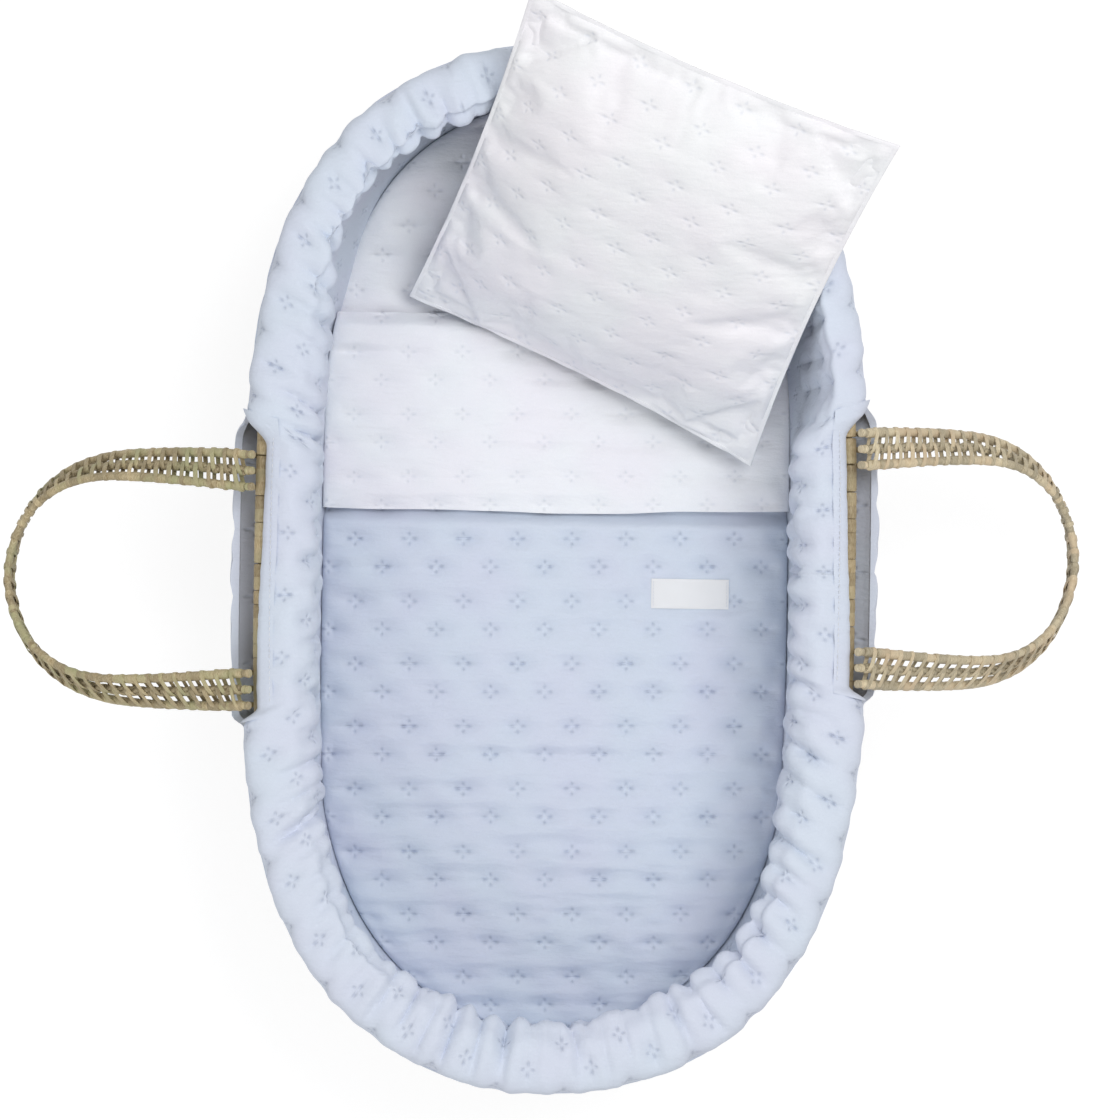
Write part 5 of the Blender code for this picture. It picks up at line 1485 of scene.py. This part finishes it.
class BasketShape(bpy.types.PropertyGroup):
    """Sizes that a user would change."""

    surplus: bpy.props.FloatProperty(name="Pillow surplus", description="Extra cloth in the pillow case, as a share",
                                     default=0.05, subtype="FACTOR")
    view_height: length_property("View height", "Height of the camera above the floor", 3.85)
    view_across: length_property("View across", "Place of the camera across the basket", 0.0039)
    view_along: length_property("View along", "Place of the camera along the basket", 0.0062)
    view_turn: bpy.props.FloatProperty(name="View turn", description="Turn of the camera about the vertical",
                                       default=math.radians(0.9), subtype="ANGLE")
    lens: bpy.props.FloatProperty(name="Lens", description="Focal length in millimetres", default=149.4)
    lamp_power: bpy.props.FloatProperty(name="Lamp power", description="Power of the main lamp", default=40.0,
                                        unit="POWER")
    sky_light: bpy.props.FloatProperty(name="Sky light", description="Strength of the light from all round",
                                       default=0.54)


class BasketColours(bpy.types.PropertyGroup):
    """Colours that a user would change."""

    blue: colour_property("Blue cotton", "Cover and coverlet", (0.645, 0.705, 0.800))
    # The shade colours give the slubbed threads their own darker tone, and are also the painted shade in the tufts'
    # petals and creases.
    blue_shade: colour_property("Blue shade", "Tufts and threads of the blue cotton", (0.34, 0.40, 0.54))
    white: colour_property("White cotton", "Pillow, band and mattress", (0.87, 0.885, 0.91))
    # Painted light: the pillow's white is set lighter than the white cotton of the band and mattress, to make up for
    # the shade that its steep tilt takes under the lamps.
    pillow: colour_property("Pillow cotton", "Pillow and its edge", (0.895, 0.90, 0.91))
    white_shade: colour_property("White shade", "Tufts and threads of the white cotton", (0.50, 0.55, 0.66))
    straw: colour_property("Straw", "Rim and lashings", (0.58, 0.47, 0.29))
    straw_dark: colour_property("Straw shade", "Dark fibres of the rim", (0.33, 0.24, 0.12))
    olive: colour_property("Olive straw", "Left handle", (0.64, 0.54, 0.34))
    olive_dark: colour_property("Olive shade", "Dark fibres of the left handle", (0.30, 0.22, 0.11))
    pale: colour_property("Pale straw", "Right handle", (0.78, 0.68, 0.48))
    pale_dark: colour_property("Pale shade", "Dark fibres of the right handle", (0.40, 0.33, 0.21))
    wicker: colour_property("Wall", "Woven wall and floor", (0.50, 0.38, 0.22))
    wicker_dark: colour_property("Wall shade", "Dark strands of the wall", (0.24, 0.16, 0.08))


class BasketOperator(bpy.types.Operator):
    """Shared end of every operator."""

    bl_options = {"REGISTER"}

    def execute(self, context):
        self.make(context)
        return {"FINISHED"}


class BASKET_OT_finishes(BasketOperator):
    """Mixes the finishes and builds the node trees"""

    bl_idname = "basket.finishes"
    bl_label = "Finishes"

    def make(self, context):
        colours = context.scene.basket_colours
        # The third number of each tufted cotton is how much shade is painted into its tufts, and the fourth is how deep
        # their petals are pressed.
        cotton_finish("blue_cotton", colours.blue, colours.blue_shade, 0.34, 0.9)
        cotton_finish("white_cotton", colours.white, colours.white_shade, 0.20, 0.7)
        # The pillow and its sewn edge take the lightened pillow white, which is painted light for the shade of its
        # tilt.
        cotton_finish("lightened_pillow_cotton", colours.pillow, colours.white_shade, 0.26, 0.45)
        cotton_finish("plain_blue", colours.blue, colours.blue_shade)
        cotton_finish("plain_white", colours.pillow, colours.white_shade)
        tape_finish("thread", (0.82, 0.84, 0.88), (0.55, 0.60, 0.70), 900.0)
        straw_finish("rim_straw", colours.straw, colours.straw_dark, (0.40, 0.36, 0.22))
        straw_finish("olive_straw", colours.olive, colours.olive_dark, (0.38, 0.39, 0.21))
        straw_finish("pale_straw", colours.pale, colours.pale_dark, (0.60, 0.46, 0.30))
        straw_finish("woven_wall", colours.wicker, colours.wicker_dark, (0.36, 0.33, 0.18))
        straw_finish("cane", colours.straw, colours.straw_dark, (0.40, 0.30, 0.16))
        tape_finish("label_cloth", (0.92, 0.925, 0.93), (0.78, 0.785, 0.80), 640.0)
        tape_finish("elastic_tape", (0.75, 0.75, 0.76), (0.5, 0.5, 0.52), 420.0)
        grain_finish("foam", (0.82, 0.78, 0.64), (0.62, 0.56, 0.40), 420.0, 0.0006)
        grain_finish("fibre_board", (0.40, 0.29, 0.18), (0.24, 0.17, 0.10), 260.0, 0.0004)
        repeat_tree()
        sweep_tree()


class BASKET_OT_wall(BasketOperator):
    """Weaves the wall, winds the rim and finishes the woven floor"""

    bl_idname = "basket.wall"
    bl_label = "Woven wall and rim"

    def make(self, context):
        make_wall()
        make_rim()
        keep_node("base_plate", "woven_wall")
        keep_node("rim_core", "cane")


class BASKET_OT_handles(BasketOperator):
    """Winds and laces both handles and their strap ends"""

    bl_idname = "basket.handles"
    bl_label = "Handles"

    def make(self, context):
        for word in HANDLES:
            make_handle(word)
            for end in ("head", "foot"):
                keep_node(f"{word}_{end}_lashing", "rim_straw")


class BASKET_OT_cover(BasketOperator):
    """Sews the padded cover with its roll, fall and slot edges"""

    bl_idname = "basket.cover"
    bl_label = "Padded cover"

    def make(self, context):
        make_bumper()
        make_skirt()
        make_hem()
        for word in HANDLES:
            make_binding(word)


class BASKET_OT_bedding(BasketOperator):
    """Lays the mattress, the coverlet with its turned-down band, and the bare label"""

    bl_idname = "basket.bedding"
    bl_label = "Mattress and coverlet"

    def make(self, context):
        make_mattress()
        make_foam()
        keep_node("mattress_board", "fibre_board")
        make_coverlet()
        make_band()
        make_label()


class BASKET_OT_pillow(BasketOperator):
    """Fills the pillow and lays it over the head of the basket"""

    bl_idname = "basket.pillow"
    bl_label = "Pillow"

    def make(self, context):
        make_pillow(context.scene.basket_shape.surplus)


class BASKET_OT_stage(BasketOperator):
    """Sets the floor, the lamps and the camera"""

    bl_idname = "basket.stage"
    bl_label = "Stage"

    def make(self, context):
        make_stage(context.scene.basket_shape)


OPERATORS = (BASKET_OT_finishes, BASKET_OT_wall, BASKET_OT_handles, BASKET_OT_cover, BASKET_OT_bedding,
             BASKET_OT_pillow, BASKET_OT_stage)


class BASKET_PT_panel(bpy.types.Panel):
    """Lists the basket's pieces with their sizes and colours"""

    bl_label = "Moses basket"
    bl_idname = "BASKET_PT_panel"
    bl_space_type = "VIEW_3D"
    bl_region_type = "UI"
    bl_category = "Basket"

    def draw(self, context):
        for group in (context.scene.basket_shape, context.scene.basket_colours):
            for name in type(group).__annotations__:
                self.layout.prop(group, name)
        for operator in OPERATORS:
            self.layout.operator(operator.bl_idname)


CLASSES = (BasketShape, BasketColours, *OPERATORS, BASKET_PT_panel)


def register():
    for kind in CLASSES:
        bpy.utils.register_class(kind)
    bpy.types.Scene.basket_shape = bpy.props.PointerProperty(type=BasketShape)
    bpy.types.Scene.basket_colours = bpy.props.PointerProperty(type=BasketColours)


def unregister():
    del bpy.types.Scene.basket_shape
    del bpy.types.Scene.basket_colours
    for kind in reversed(CLASSES):
        bpy.utils.unregister_class(kind)


def main():
    register()
    for operator in OPERATORS:
        group, name = operator.bl_idname.split(".")
        getattr(getattr(bpy.ops, group), name)()


if __name__ == "__main__":
    main()
